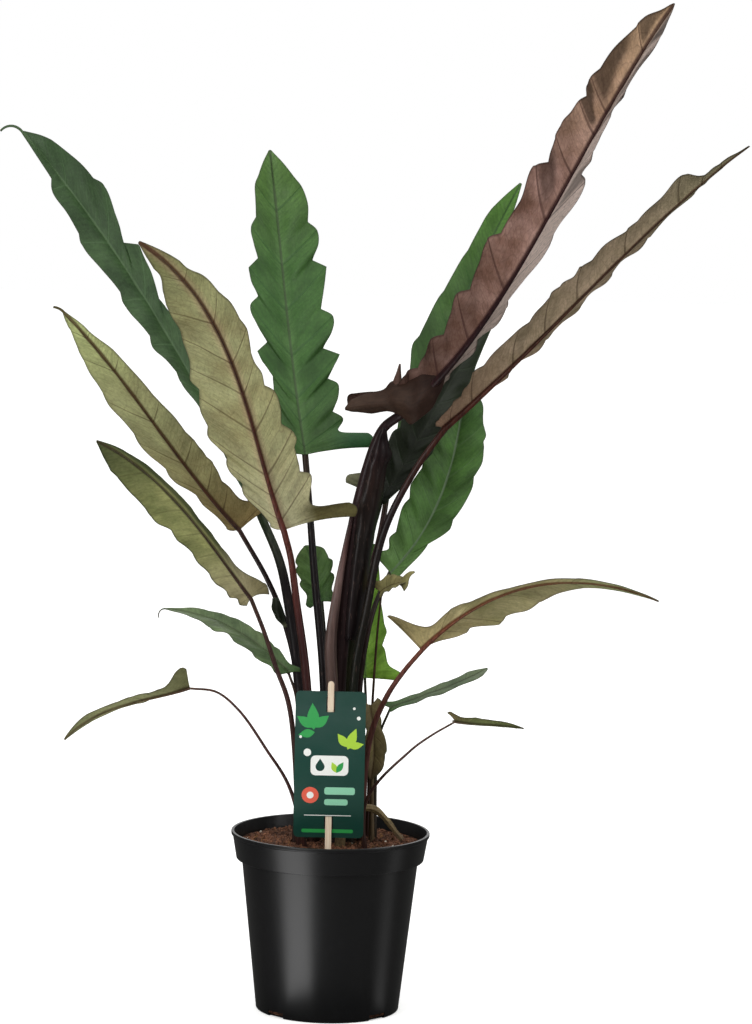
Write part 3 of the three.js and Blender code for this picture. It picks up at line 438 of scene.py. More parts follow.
def curvedRows(points, sharp, counts):
    # The margin as a curve through its points, with its tips and notches left sharp
    rows = []
    chords = np.diff(points, axis=0)
    sizes = np.maximum(np.linalg.norm(chords[:, :2], axis=1), 1e-6)
    for k, count in enumerate(counts):
        pulls = []
        for corner in (k, k + 1):
            if sharp[corner] or corner in (0, len(chords)):
                pulls.append(chords[k])
            else:
                before, after = chords[corner - 1] / sizes[corner - 1], chords[corner] / sizes[corner]
                pulls.append((before + after) / 2 * sizes[k])
        t = np.linspace(0, 1, count, endpoint=False)[:, None]
        curve = hermite(points[k], points[k + 1], *pulls, t)
        curve[:, 2] = points[k, 2] + chords[k, 2] * t[:, 0]
        if k == 0:
            curve[:, 1] += leafShape["lobeBulge"] * sizes[0] * 4 * t[:, 0] * (1 - t[:, 0])
        rows.append(curve)
    return np.concatenate([*rows, points[-1:]])


def crinkled(surface, size):
    # Pushes a surface in and out along its normals; the sheet keeps those from before
    normals = unit(np.cross(np.gradient(surface, axis=1), np.gradient(surface, axis=0)))
    for index in np.ndindex(surface.shape[:2]):
        surface[index] += normals[index] * leafShape["crinkle"] * noise.noise(Vector(surface[index] / size))
    return {"surface": surface, "normals": normals}


def bladeSheet(leaf):
    # The blade's middle surface as a grid: rows follow the side veins from the rib to the margin
    length, tailLength = leaf["curve"]["length"], leaf["tail"][0]
    tailSteps = leafShape["tailSteps"] if tailLength else 0
    right, sharp = marginPoints(leaf, "right", tailSteps)
    left, _ = marginPoints(leaf, "left", tailSteps)
    tipRow = len(right) - 1 - tailSteps
    least = leafShape["leastRowStart"]
    starts = []
    for k in range(len(right)):
        wanted = (right[k, 0] + left[k, 0] - leafShape["sideVeinSweep"] * (right[k, 1] + left[k, 1])) / 2
        earliest = starts[-1] + least if starts else 0
        inside = min(max(wanted, earliest), length - (tipRow - k) * least)
        starts.append(inside if k < tipRow else length + tailLength * (k - tipRow) / leafShape["tailSteps"])
    chords = np.maximum(*(np.linalg.norm(np.diff(side[:, :2], axis=0), axis=1) for side in (right, left)))
    counts = np.clip(np.ceil(chords / leafShape["rowSpacing"]), *leafShape["rowsInStretch"]).astype(int)
    starts = np.array(starts)
    rowStarts = np.concatenate([*(np.linspace(starts[k], starts[k + 1], n, endpoint=False)
                                  for k, n in enumerate(counts)), starts[-1:]])[:, None]
    v = columnShares[None, :]
    halves = []
    for sign, margin, fold in ((-1, left, leaf["fold"][1]), (1, right, leaf["fold"][0])):
        fold = math.radians(fold)
        marginAlong, marginWidth, phase = (curvedRows(margin, sharp, counts)[:, i][:, None] for i in range(3))
        along = rowStarts + (marginAlong - rowStarts) * (v * (1 - leafShape["sideVeinBow"] * (1 - v)))
        width = marginWidth * v
        origin, normal, across = ribFrames(leaf, along)
        narrow = np.minimum(1, marginWidth / leafShape["fullWidth"])
        lift = width * math.sin(fold) + leafShape["arch"] * marginWidth * 4 * v * (1 - v)
        lift = lift - 0.5 * leaf["wave"] * narrow * v ** 2 * np.cos(2 * math.pi * phase)
        lift = lift + leafShape["quilting"] * narrow * np.sin(math.pi * phase) ** 2 * np.sin(math.pi * v)
        # the last part of each stretch rolls over, more on some teeth than on others
        uneven = 1 + leafShape["rollVariation"] * np.sin(np.floor(phase) * 2.4 + sign)
        lift = lift + leaf["ruffle"] * narrow * uneven * v ** 3 * np.sin(2 * math.pi * phase + 0.9)
        spacing = np.gradient(marginAlong[:, 0]) / np.maximum(np.gradient(phase[:, 0]), 1e-3)
        spacing = np.clip(spacing, *leafShape["toothSpacing"])[:, None]
        veins = np.array([leafShape["lobeVein"], *range(len(leaf["right"]) - 3)])
        veinDistance = np.min(np.abs(phase[..., None] - veins), axis=-1) * spacing * 0.8
        veinWidth = leafShape["veinWidth"] * (1.25 - 0.8 * v) * np.minimum(1, 0.45 + marginWidth / 45)
        # painted shade in the fold just past each tooth, darker on some than on others
        tooth = np.maximum(np.floor(phase), 0).astype(int)
        past = phase - tooth
        depths = np.resize(leaf["paintedFoldShades"], 20)[tooth]
        reach = 0.15 + 0.4 * depths
        fading = 1 - smoothStep(past - reach, 0, leafShape["paintedFoldShadeFade"])
        paintedFoldShade = smoothStep(past, 0, leafShape["paintedFoldShadeStart"]) * fading * depths
        paintedFoldShade = paintedFoldShade * smoothStep(v - 0.5 * past, 0.05, 0.4)
        sideways = (sign * width * math.cos(fold))[..., None]
        halves.append({
            "surface": origin + across * sideways + normal * lift[..., None],
            "veins": np.stack([veinDistance / veinWidth, width + 0 * v, marginWidth * (1 - v)], axis=-1),
            "skin": np.stack([phase * 30 + 0 * v, sign * width, np.minimum(paintedFoldShade * narrow, 1)], axis=-1),
            "share": np.clip(along / length, 0, 1) + 0 * v,
        })
    leftHalf, rightHalf = halves
    joined = {name: np.concatenate([leftHalf[name][:, :0:-1], rightHalf[name]], axis=1) for name in leftHalf}
    return {**joined, **crinkled(joined["surface"], leafShape["crinkleSize"])}


def filledIn(points, steps):
    # Points between the rows of a grid, on curves through them
    points = np.asarray(points, float)
    at = np.linspace(0, len(points) - 1, (len(points) - 1) * steps + 1)
    start = np.minimum(at.astype(int), len(points) - 2)
    t = (at - start)[:, None, None]
    pulls = np.gradient(points, axis=0)
    return hermite(points[start], points[start + 1], pulls[start], pulls[start + 1], t)


def freeSheet(grid, share, steps=4):
    # A curled scrap of leaf through a grid of points, with no veins of its own
    surface = filledIn(filledIn(grid, steps).transpose(1, 0, 2), steps).transpose(1, 0, 2)
    rows, columns = surface.shape[:2]
    down, across = np.meshgrid(np.arange(rows), np.arange(columns), indexing="ij")
    toEdge = np.minimum(np.minimum(down, rows - 1 - down) / rows,
                        np.minimum(across, columns - 1 - across) / columns)
    return {
        **crinkled(surface, leafShape["scrapCrinkleSize"]),
        "veins": np.stack([2.5 + 0 * toEdge, 20 + 0 * toEdge, toEdge * 20], axis=-1),
        "skin": np.stack([across * 2.5, down * 1.5 + 1, 0.0 * across], axis=-1),
        "share": share * (1 - down / (rows - 1)),
    }


def sheetPiece(name, sheet, skins):
    # Upper and under skin with a rounded edge between them, from the middle surface
    surface, normals = sheet["surface"], sheet["normals"]
    rows, columns = surface.shape[:2]
    grid = np.arange(rows * columns).reshape(rows, columns)
    thinned = 1 - leafShape["edgeThinning"] * np.abs(np.linspace(-1, 1, columns)) ** 6
    half = normals * (leafShape["thickness"] / 2 * thinned)[None, :, None]
    faces, kinds = [], []
    for row in range(rows - 1):
        for i in range(row * columns, row * columns + columns - 1):
            quad = (i, i + 1, i + columns + 1, i + columns)
            faces += [quad, tuple(grid.size + corner for corner in reversed(quad))]
            kinds += [0, 1]
    border = [int(i) for side in (grid[0], grid[1:, -1], grid[-1, -2::-1], grid[-2:0:-1, 0]) for i in side]
    flat = surface.reshape(-1, 3)
    alongEdge = flat[np.roll(border, -1)] - flat[np.roll(border, 1)]
    outward = unit(np.cross(alongEdge, normals.reshape(-1, 3)[border]))
    rim = flat[border] + outward * leafShape["thickness"] * leafShape["edgeBulge"]
    first = 2 * grid.size
    for i, start in enumerate(border):
        j = (i + 1) % len(border)
        end = border[j]
        faces += [(end, start, first + i, first + j),
                  (first + j, first + i, grid.size + start, grid.size + end)]
        kinds += [2, 2]
    points = np.concatenate([(surface + half).reshape(-1, 3), (surface - half).reshape(-1, 3), rim])
    piece = meshPiece(name, points, faces, skins, kinds)
    for attribute in ("veins", "skin", "share"):
        values = sheet[attribute].reshape(grid.size, -1)
        addAttribute(piece, attribute, np.concatenate([values, values, values[border]]),
                     "FLOAT" if attribute == "share" else "FLOAT_VECTOR")
    return piece


petioleShape = {
    "step": 4.0, "midribReach": 0.93, "midribEnd": 0.35, "taper": 2.4, "sink": 0.9, "clear": 0.15,
    "collar": 8, "flareReach": 0.45, "neckFrom": 0.55, "ridges": 7, "ridgeDepth": 0.025, "sides": 12,
    "thickFrom": 3, "thickSides": 20,
}


def petiolePath(leaf):
    # Centres, radii and share of the way for a stalk that runs on under the blade as its midrib
    rootRadius, midRadius, neckRadius = leaf["radii"]
    reach = leaf["curve"]["length"] * petioleShape["midribReach"]
    ribAlong = np.arange(0, reach, petioleShape["step"])
    ribShare = ribAlong / reach
    endRadius = petioleShape["midribEnd"]
    ribRadii = endRadius + (neckRadius - endRadius) * (1 - ribShare) ** petioleShape["taper"]
    origin, normal, _ = ribFrames(leaf, ribAlong)
    ribCentres = origin - normal * (petioleShape["sink"] * ribRadii + petioleShape["clear"])[:, None]
    root = (*leaf["stem"][0], leafShape["soilLevel"] - leafShape["stalkDepth"])
    stem = catmullRom([root, *leaf["stem"][1:], ribCentres[0]])
    collar = (leafShape["stalkDepth"] + petioleShape["collar"]) / stem["length"]
    share = np.linspace(0, 1, int(stem["length"] / petioleShape["step"]))[:-1]
    flare = np.clip(1 - (share - collar) / petioleShape["flareReach"], 0, 1) ** 2
    neck = smoothStep(share, petioleShape["neckFrom"], 1)
    radii = midRadius + (rootRadius - midRadius) * flare + (neckRadius - midRadius) * neck
    return (np.concatenate([pointsAt(stem, share * stem["length"]), ribCentres]),
            np.concatenate([radii, ribRadii]), np.concatenate([share, 1 + ribShare]))


def tubeTree():
    # Sweeps a faintly ridged ring along a path whose points carry their radius
    tree, given = newTree("stalkTube", (("sides", "Int"), ("ridges", "Int"), ("ridge depth", "Float")))
    ring = addNode(tree, "GeometryNodeCurvePrimitiveCircle", {"Resolution": given["sides"], "Radius": 1.0})
    place = addNode(tree, "GeometryNodeInputPosition")
    sides = addNode(tree, "ShaderNodeSeparateXYZ", {0: place}).outputs
    angle = addNode(tree, "ShaderNodeMath", {0: sides["Y"], 1: sides["X"]}, operation="ARCTAN2")
    turns = addNode(tree, "ShaderNodeMath", {0: angle, 1: given["ridges"]}, operation="MULTIPLY")
    wave = addNode(tree, "ShaderNodeMath", {0: turns}, operation="SINE")
    depth = addNode(tree, "ShaderNodeMath", {0: wave, 1: given["ridge depth"], 2: 1.0},
                    operation="MULTIPLY_ADD")
    ridged = addNode(tree, "ShaderNodeVectorMath", {0: place, "Scale": depth}, operation="SCALE")
    profile = addNode(tree, "GeometryNodeSetPosition", {"Geometry": ring, "Position": ridged})
    path = addNode(tree, "GeometryNodeMeshToCurve", {"Mesh": given["Geometry"]})
    radius = addNode(tree, "GeometryNodeInputNamedAttribute", {"Name": "radius"}, data_type="FLOAT")
    tube = addNode(tree, "GeometryNodeCurveToMesh", {
        "Curve": path, "Profile Curve": profile, "Scale": radius, "Fill Caps": True})
    return closeTree(tree, given, addNode(tree, "GeometryNodeSetShadeSmooth", {"Geometry": tube}))


stalkTube = tubeTree()


def tubePiece(name, centres, radii, share, stops, material, sides, ridges, ridgeDepth):
    # A stalk along its centres in millimetres; stops: (share of the way, hex) for its colour
    mesh = bpy.data.meshes.new(name + "_path")
    edges = [(i, i + 1) for i in range(len(centres) - 1)]
    mesh.from_pydata([tuple(point) for point in centres * mm], edges, [])
    source = newObject(name + "_path", mesh)
    addAttribute(source, "radius", radii * mm)
    addAttribute(source, "share", share)
    addAttribute(source, "tint", blendedTints(stops, share), "FLOAT_COLOR")
    return applyTree(name, source, stalkTube, {
        "sides": sides, "ridges": ridges, "ridge depth": ridgeDepth, "material": material})


def blendedTints(stops, share):
    # Linear colours at shares of the way, from (share, hex) stops
    table = np.array([colour(text) for _, text in stops])
    return np.stack([np.interp(share, [at for at, _ in stops], table[:, i]) for i in range(4)], axis=-1)


def leafSkin(name, look, upper):
    # Living leaf: satin above, matt below, with dark side veins, a net of fine ones and a grain between them,
    # and painted shade in its folds
    material, tree, shader, place = newMaterial(name)
    veins = addNode(tree, "ShaderNodeAttribute", attribute_name="veins").outputs["Vector"]
    toVein, toRib, toEdge = addNode(tree, "ShaderNodeSeparateXYZ", {0: veins}).outputs
    skin = addNode(tree, "ShaderNodeAttribute", attribute_name="skin").outputs["Vector"]
    _, across, paintedFoldShade = addNode(tree, "ShaderNodeSeparateXYZ", {0: skin}).outputs
    share = addNode(tree, "ShaderNodeAttribute", attribute_name="share").outputs["Fac"]
    # blotches 30 mm across, a grain 1.5 mm wide that runs with the side veins, a net of cells 4 mm wide
    blotch = addNode(tree, "ShaderNodeTexNoise", {"Vector": place, "Scale": 34.0, "Detail": 5.0})
    speckle = addNode(tree, "ShaderNodeTexNoise", {"Vector": place, "Scale": 420.0, "Detail": 3.0})
    stretched = addNode(tree, "ShaderNodeMapping", {"Vector": skin, "Scale": (0.6, 0.1, 1)})
    grain = addNode(tree, "ShaderNodeTexNoise", {"Vector": stretched, "Scale": 1.0, "Detail": 3.0},
                    noise_dimensions="2D")
    net = addNode(tree, "ShaderNodeTexVoronoi", {"Vector": skin, "Scale": 0.24}, feature="DISTANCE_TO_EDGE",
                  voronoi_dimensions="2D")

    def layered(tone, layers):
        # Lays colours of the look over a tone: each is as strong as the readings of what it follows say
        masks = []
        for key, follows, low, high, atLow, atHigh, *curve in layers:
            mask = addNode(tree, "ShaderNodeMapRange", {0: follows, 1: low, 2: high, 3: atLow, 4: atHigh},
                           interpolation_type=curve[0] if curve else "LINEAR")
            tone = addNode(tree, "ShaderNodeMix", {0: mask, 6: tone, 7: colour(look[key])}, data_type="RGBA")
            masks.append(mask)
        return tone, masks

    # the colour runs from the foot of the blade to its tip, and may differ beyond the midrib, in a pale band
    # beside it and on the basal lobes. Beyond the midrib it may be a painted highlight, as on leaf_08
    lobeSide = addNode(tree, "ShaderNodeMapRange", {0: toRib, 1: look["lobeFrom"], 2: look["lobeFrom"] + 22})
    tone, _ = layered(colour(look["base"]), (
        ("shade", blotch, 0.36, 0.64, 0, 1), ("tip", share, 0.62, 1, 0, 1),
        ("far", across, -1, -5, 0, look["farDepth"]), ("foot", share, look["footReach"], 0, 0, 0.85),
        ("halo", toRib, 1.5, 7, look["haloDepth"], 0), ("lobe", share, 0.09, 0.02, 0, lobeSide)))
    # grain and speckle vary the tone; the fold factor darkens it as painted shade in the folds
    light = 1.0
    for follows, low, high, atLow, atHigh in (
            (grain, 0.3, 0.7, 0.86, 1.12), (speckle, 0.35, 0.7, 1.08, 0.88),
            (paintedFoldShade, 0, 1, 1, 1 - look["paintedFoldShadeDepth"])):
        part = addNode(tree, "ShaderNodeMapRange", {0: follows, 1: low, 2: high, 3: atLow, 4: atHigh})
        light = addNode(tree, "ShaderNodeMath", {0: light, 1: part}, operation="MULTIPLY")
    tone = addNode(tree, "ShaderNodeVectorMath", {0: tone, "Scale": light}, operation="SCALE")
    tone, masks = layered(tone, (
        ("vein", net, 0, 0.09, look["veinDepth"] * 0.4, 0),
        ("vein", toVein, 0.3, 1.1, look["veinDepth"], 0, "SMOOTHSTEP"),
        ("rib", toRib, look["ribWidth"] * 0.4, look["ribWidth"] * 1.3, look["ribDepth"], 0, "SMOOTHSTEP"),
        ("edge", toEdge, 0.2, 1.4, look["edgeDepth"], 0)))
    # veins are sunk above and stand out below
    sign = -1 if upper else 1
    height = 0.0
    for mask, rise in ((masks[1], sign * 1.6), (masks[0], sign * 1.2), (grain, 0.5)):
        height = addNode(tree, "ShaderNodeMath", {0: mask, 1: rise, 2: height}, operation="MULTIPLY_ADD")
    bump = addNode(tree, "ShaderNodeBump", {"Height": height, "Strength": 0.6, "Distance": 0.0005})
    smoothest, roughest = (0.4, 0.55) if upper else (0.52, 0.7)
    rough = addNode(tree, "ShaderNodeMapRange", {0: blotch, 1: 0.3, 2: 0.7, 3: smoothest, 4: roughest})
    setInputs(tree, shader, {"Base Color": tone, "Roughness": rough, "IOR": 1.42,
                             "Specular IOR Level": 0.3 if upper else 0.2, "Normal": bump})
    return material


def leafMargin():
    # The cut edge of a leaf, darker than its sides
    material, tree, shader, place = newMaterial("leaf_margin_tissue")
    patches = addNode(tree, "ShaderNodeTexNoise", {"Vector": place, "Scale": 60.0})
    tone = addNode(tree, "ShaderNodeMix", {0: patches, 6: colour("#2c3320"), 7: colour("#3c2a1c")},
                   data_type="RGBA")
    setInputs(tree, shader, {"Base Color": tone, "Roughness": 0.55})
    return material


def petioleSkin():
    # Smooth, slightly waxy stalk skin: streaks 2 mm wide and 60 mm long, with short pale flecks
    material, tree, shader, place = newMaterial("petiole_skin")
    tint = addNode(tree, "ShaderNodeAttribute", attribute_name="tint").outputs["Color"]
    long = addNode(tree, "ShaderNodeMapping", {"Vector": place, "Scale": (420, 420, 16)})
    streak = addNode(tree, "ShaderNodeTexNoise", {"Vector": long, "Scale": 1.0, "Detail": 3.0})
    short = addNode(tree, "ShaderNodeMapping", {"Vector": place, "Scale": (900, 900, 160)})
    fleck = addNode(tree, "ShaderNodeTexNoise", {"Vector": short, "Scale": 1.0, "Detail": 1.0})
    light = addNode(tree, "ShaderNodeMapRange", {0: streak, 1: 0.32, 2: 0.68, 3: 0.62, 4: 1.45})
    tone = addNode(tree, "ShaderNodeVectorMath", {0: tint, "Scale": light}, operation="SCALE")
    mask = addNode(tree, "ShaderNodeMapRange", {0: fleck, 1: 0.64, 2: 0.74, 3: 0.0, 4: 0.2})
    tone = addNode(tree, "ShaderNodeMix", {0: mask, 6: tone, 7: colour("#7d6259")}, data_type="RGBA")
    bump = addNode(tree, "ShaderNodeBump", {"Height": streak, "Strength": 0.3, "Distance": 0.0003})
    setInputs(tree, shader, {"Base Color": tone, "Roughness": 0.36, "IOR": 1.42, "Specular IOR Level": 0.3,
                             "Normal": bump})
    return material


# A plain upper side and under side: colours, depths as shares of full strength, widths in millimetres. The
# fold depth is how dark the painted shade in the folds gets
greenAbove = {
    "base": "#476c38", "shade": "#395c2e", "tip": "#53733a", "foot": "#3c5c30", "footReach": 0.3,
    "vein": "#2f4c28", "veinDepth": 0.35, "rib": "#35502c", "ribWidth": 1.3, "ribDepth": 0.7,
    "edge": "#2a4023", "edgeDepth": 0.35, "far": "#3a5a30", "farDepth": 0.0, "paintedFoldShadeDepth": 0.3,
    "halo": "#5a7a48", "haloDepth": 0.0, "lobe": "#3c5c30", "lobeFrom": 90.0,
}
oliveBelow = {
    "base": "#948d63", "shade": "#7c7452", "tip": "#7c7850", "foot": "#7a6d4a", "footReach": 0.3,
    "vein": "#46351f", "veinDepth": 0.55, "rib": "#47281a", "ribWidth": 1.9, "ribDepth": 0.85,
    "edge": "#3a331f", "edgeDepth": 0.5, "far": "#7c7452", "farDepth": 0.0, "paintedFoldShadeDepth": 0.25,
    "halo": "#a78a72", "haloDepth": 0.0, "lobe": "#7a6d4a", "lobeFrom": 90.0,
}

# The looks of each leaf: its slots, the stalk's colour by share of the way (0 root, 1 blade, 2 tip)
# and what differs from a plain upper and under side, or from both
leafLooks = {
    "leaf_01": {
        "slot": "leaf_deep_green", "stalk": "stalk_dark",
        "stops": ((0, "#181314"), (0.8, "#1b1718"), (1.1, "#3b4a30"), (2, "#4a6038")),
        "above": {"base": "#405a34", "shade": "#32492a", "tip": "#334c29", "foot": "#304527",
                  "vein": "#54704a", "rib": "#5d7551", "ribDepth": 0.5},
    },
    "leaf_02": {
        "slot": "leaf_bronze", "stalk": "stalk_red",
        "stops": ((0, "#2f1d19"), (0.7, "#351b1a"), (0.98, "#5e3028"), (1.15, "#4f261c"), (1.6, "#3a2215"),
                  (2, "#4a3c22")),
        "below": {"base": "#bdbc89", "shade": "#a49d6f", "tip": "#949661", "foot": "#c6c19a",
                  "vein": "#4a3420", "rib": "#4d241a", "ribWidth": 2.2, "halo": "#c8a086",
                  "haloDepth": 0.36, "lobe": "#605a36", "lobeFrom": 8.0},
    },
    "leaf_03": {
        "slot": "leaf_olive", "stalk": "stalk_dark",
        "stops": ((0, "#181314"), (0.9, "#221717"), (1.1, "#47281a"), (2, "#4a3c20")),
        "below": {"base": "#b3b480", "shade": "#9c996c", "tip": "#cfda93", "foot": "#8f7649",
                  "footReach": 0.45, "vein": "#4a3a22", "rib": "#4a2a1b"},
    },
    "leaf_04": {
        "slot": "leaf_olive", "stalk": "stalk_red",
        "stops": ((0, "#33201c"), (0.9, "#39231f"), (1.2, "#3a2a1a"), (2, "#33301c")),
        "below": {"base": "#a1a268", "shade": "#858a55", "tip": "#4c552f", "foot": "#ccc096",
                  "vein": "#525030", "veinDepth": 0.35, "rib": "#3a301c", "edge": "#28331b",
                  "edgeDepth": 0.8, "far": "#2f391f", "farDepth": 0.85, "lobe": "#8f8661",
                  "lobeFrom": -10.0},
    },
    "leaf_05": {
        "slot": "leaf_deep_green", "stalk": "stalk_dark",
        "stops": ((0, "#241918"), (1, "#33261e"), (2, "#40402c")),
        "above": {"base": "#6a7c53", "shade": "#536644", "tip": "#5e714a", "vein": "#6a7d58",
                  "rib": "#4a5438"},
    },
    "leaf_06": {
        "slot": "leaf_olive", "stalk": "stalk_red",
        "stops": ((0, "#33201c"), (0.8, "#442824"), (1.3, "#55452f"), (2, "#555335")),
        "below": {"base": "#8a8b62", "shade": "#717551", "tip": "#73764f", "foot": "#646442",
                  "vein": "#55503a", "veinDepth": 0.3, "rib": "#4a4029"},
    },
    "leaf_07": {
        "slot": "leaf_green", "stalk": "stalk_dark",
        "stops": ((0, "#151213"), (0.85, "#1a1516"), (1.0, "#3a2c22"), (2, "#3f5a30")),
        "above": {"base": "#446932", "shade": "#385c29", "tip": "#577939", "foot": "#436232",
                  "vein": "#33552b", "veinDepth": 0.55, "rib": "#3c4a30", "ribWidth": 1.5,
                  "halo": "#6d8f5a", "haloDepth": 0.3, "lobe": "#2c5730", "lobeFrom": 20.0},
    },
    "leaf_08": {
        "slot": "leaf_purple", "stalk": "stalk_dark",
        "stops": ((0, "#2a2020"), (0.6, "#2c1d1e"), (1.0, "#241214"), (1.3, "#260f12"), (2, "#3a201c")),
        "above": {"base": "#3a4a2b", "shade": "#30401f", "tip": "#4a4a2a", "foot": "#2a331e"},
        # underneath, the folds carry deep painted shade, and the half beyond the midrib a pale painted
        # highlight where it catches the light
        "below": {"base": "#bb9588", "shade": "#866354", "tip": "#d6b28c", "foot": "#37241d",
                  "footReach": 0.42, "vein": "#3c2220", "veinDepth": 0.6, "rib": "#34171a", "ribWidth": 2.4,
                  "edge": "#34221c", "edgeDepth": 0.7, "paintedFoldShadeDepth": 0.7, "far": "#ffe8dc",
                  "farDepth": 0.95},
    },
    "leaf_09": {
        "slot": "leaf_green", "stalk": "stalk_red",
        "stops": ((0, "#261817"), (0.9, "#33201c"), (1.2, "#40502f"), (2, "#456336")),
        "above": {"base": "#456530", "shade": "#395729", "tip": "#527e2e", "foot": "#2f4f27",
                  "vein": "#2c5226"},
    },
    "leaf_10": {
        "slot": "leaf_bronze", "stalk": "stalk_dark",
        "stops": ((0, "#1d1813"), (0.4, "#12150e"), (0.8, "#1f1515"), (1.1, "#4f281e"), (1.6, "#4a2e1f"),
                  (2, "#43402a")),
        "below": {"base": "#cdb598", "shade": "#a59376", "tip": "#959170", "foot": "#967460",
                  "vein": "#4b3c28", "veinDepth": 0.6, "rib": "#4d2a1e", "edge": "#39301f",
                  "edgeDepth": 0.7},
    },
    "leaf_11": {
        "slot": "leaf_deep_green", "stalk": "stalk_dark",
        "stops": ((0, "#1a1a12"), (0.5, "#2c301e"), (0.75, "#1c1b14"), (0.9, "#151112"), (1.2, "#171d12"),
                  (2, "#1d2618")),
        # the upper side is painted near black: its dark green darkened as painted shade of the leaves in
        # front of it
        "above": {"base": "#1e2614", "shade": "#151b0d", "tip": "#1b2612", "foot": "#11150b",
                  "vein": "#2c3826", "rib": "#262c1f", "lobe": "#8d8c6c", "lobeFrom": 12.0},
    },
    "leaf_12": {
        "slot": "leaf_green", "stalk": "stalk_dark",
        "stops": ((0, "#1d1515"), (0.9, "#2a1e1a"), (1.1, "#55563a"), (2, "#5c7350")),
        "above": {"base": "#58853b", "shade": "#41622c", "tip": "#34542c", "foot": "#709654",
                  "vein": "#5a784b", "veinDepth": 0.45, "rib": "#73876a", "ribDepth": 0.75},
    },
    "leaf_13": {
        "slot": "leaf_bronze", "stalk": "stalk_red",
        "stops": ((0, "#2d1d19"), (1, "#423020"), (2, "#5d5432")),
        "both": {"base": "#a09762", "shade": "#857f50", "tip": "#665d3c", "foot": "#8d8452",
                 "vein": "#5d5432", "rib": "#5d4f32"},
    },
    "leaf_14": {
        "slot": "leaf_green", "stalk": "stalk_dark",
        "stops": ((0, "#181414"), (0.9, "#241f1b"), (1.3, "#3f5030"), (2, "#4a6236")),
        "above": {"base": "#5b7a3f", "shade": "#466631", "tip": "#5d793d", "vein": "#5d7c4a"},
    },
    "leaf_15": {
        "slot": "leaf_green", "stalk": "stalk_dark",
        "stops": ((0, "#181414"), (0.9, "#221e16"), (1.3, "#404e24"), (2, "#455c25")),
        "above": {"base": "#83b33b", "shade": "#67932e", "tip": "#6b9c37", "foot": "#7aa538",
                  "vein": "#6d8a3c"},
    },
    "leaf_16": {
        "slot": "leaf_bronze", "stalk": "stalk_red",
        "stops": ((0, "#3d2420"), (0.85, "#5f3830"), (1.1, "#6c3c2a"), (2, "#62492a")),
        "below": {"base": "#ccc18f", "shade": "#afa876", "tip": "#aaba83", "foot": "#bba976",
                  "vein": "#57462c", "veinDepth": 0.45, "rib": "#653824", "lobe": "#6d6540",
                  "lobeFrom": 8.0},
    },
    "leaf_17": {
        "slot": "leaf_deep_green", "stalk": "stalk_dark",
        "stops": ((0, "#241b18"), (1, "#333222"), (2, "#404e36")),
        "above": {"base": "#677555", "shade": "#516048", "tip": "#647153", "vein": "#707b5e",
                  "rib": "#4d5540"},
    },
    "leaf_18": {
        "slot": "leaf_olive", "stalk": "stalk_red",
        "stops": ((0, "#33201c"), (0.9, "#4c3229"), (1.3, "#4b4729"), (2, "#505531")),
        "below": {"base": "#777f4d", "shade": "#626a40", "tip": "#686f40", "vein": "#474d2b",
                  "veinDepth": 0.3, "rib": "#3d3c23"},
    },
    "leaf_19": {
        "slot": "leaf_bronze", "stalk": "stalk_pale",
        "stops": ((0, "#50422f"), (1, "#5d4f35"), (2, "#6b5f40")),
        "both": {"base": "#776c45", "shade": "#5d5236", "tip": "#544630", "foot": "#6b5f40",
                 "vein": "#4b3d28", "rib": "#4b3d28"},
    },
}


def leafSides(look):
    # The whole look of a leaf's upper and under side
    both = look.get("both", {})
    return {**greenAbove, **look.get("above", both)}, {**oliveBelow, **look.get("below", both)}


petioleMaterial = petioleSkin()
marginMaterial = leafMargin()
for name, leaf in leaves.items():
    leaf = {**leafDefaults, **leaf, "curve": fourPointCurve(leaf["rib"])}
    look = leafLooks[name]
    above, below = leafSides(look)
    skins = leafSkin(name + "_upper_skin", above, True), leafSkin(name + "_under_skin", below, False)
    blade = sheetPiece(name + "_veined_blade", bladeSheet(leaf), (*skins, marginMaterial))
    onPlant(blade, look["slot"], name + "_blade")
    sides = petioleShape["thickSides" if leaf["radii"][1] > petioleShape["thickFrom"] else "sides"]
    petiole = tubePiece(name + "_petiole", *petiolePath(leaf), look["stops"], petioleMaterial, sides,
                        petioleShape["ridges"], petioleShape["ridgeDepth"])
    onPlant(petiole, look["stalk"], name + "_stalk")

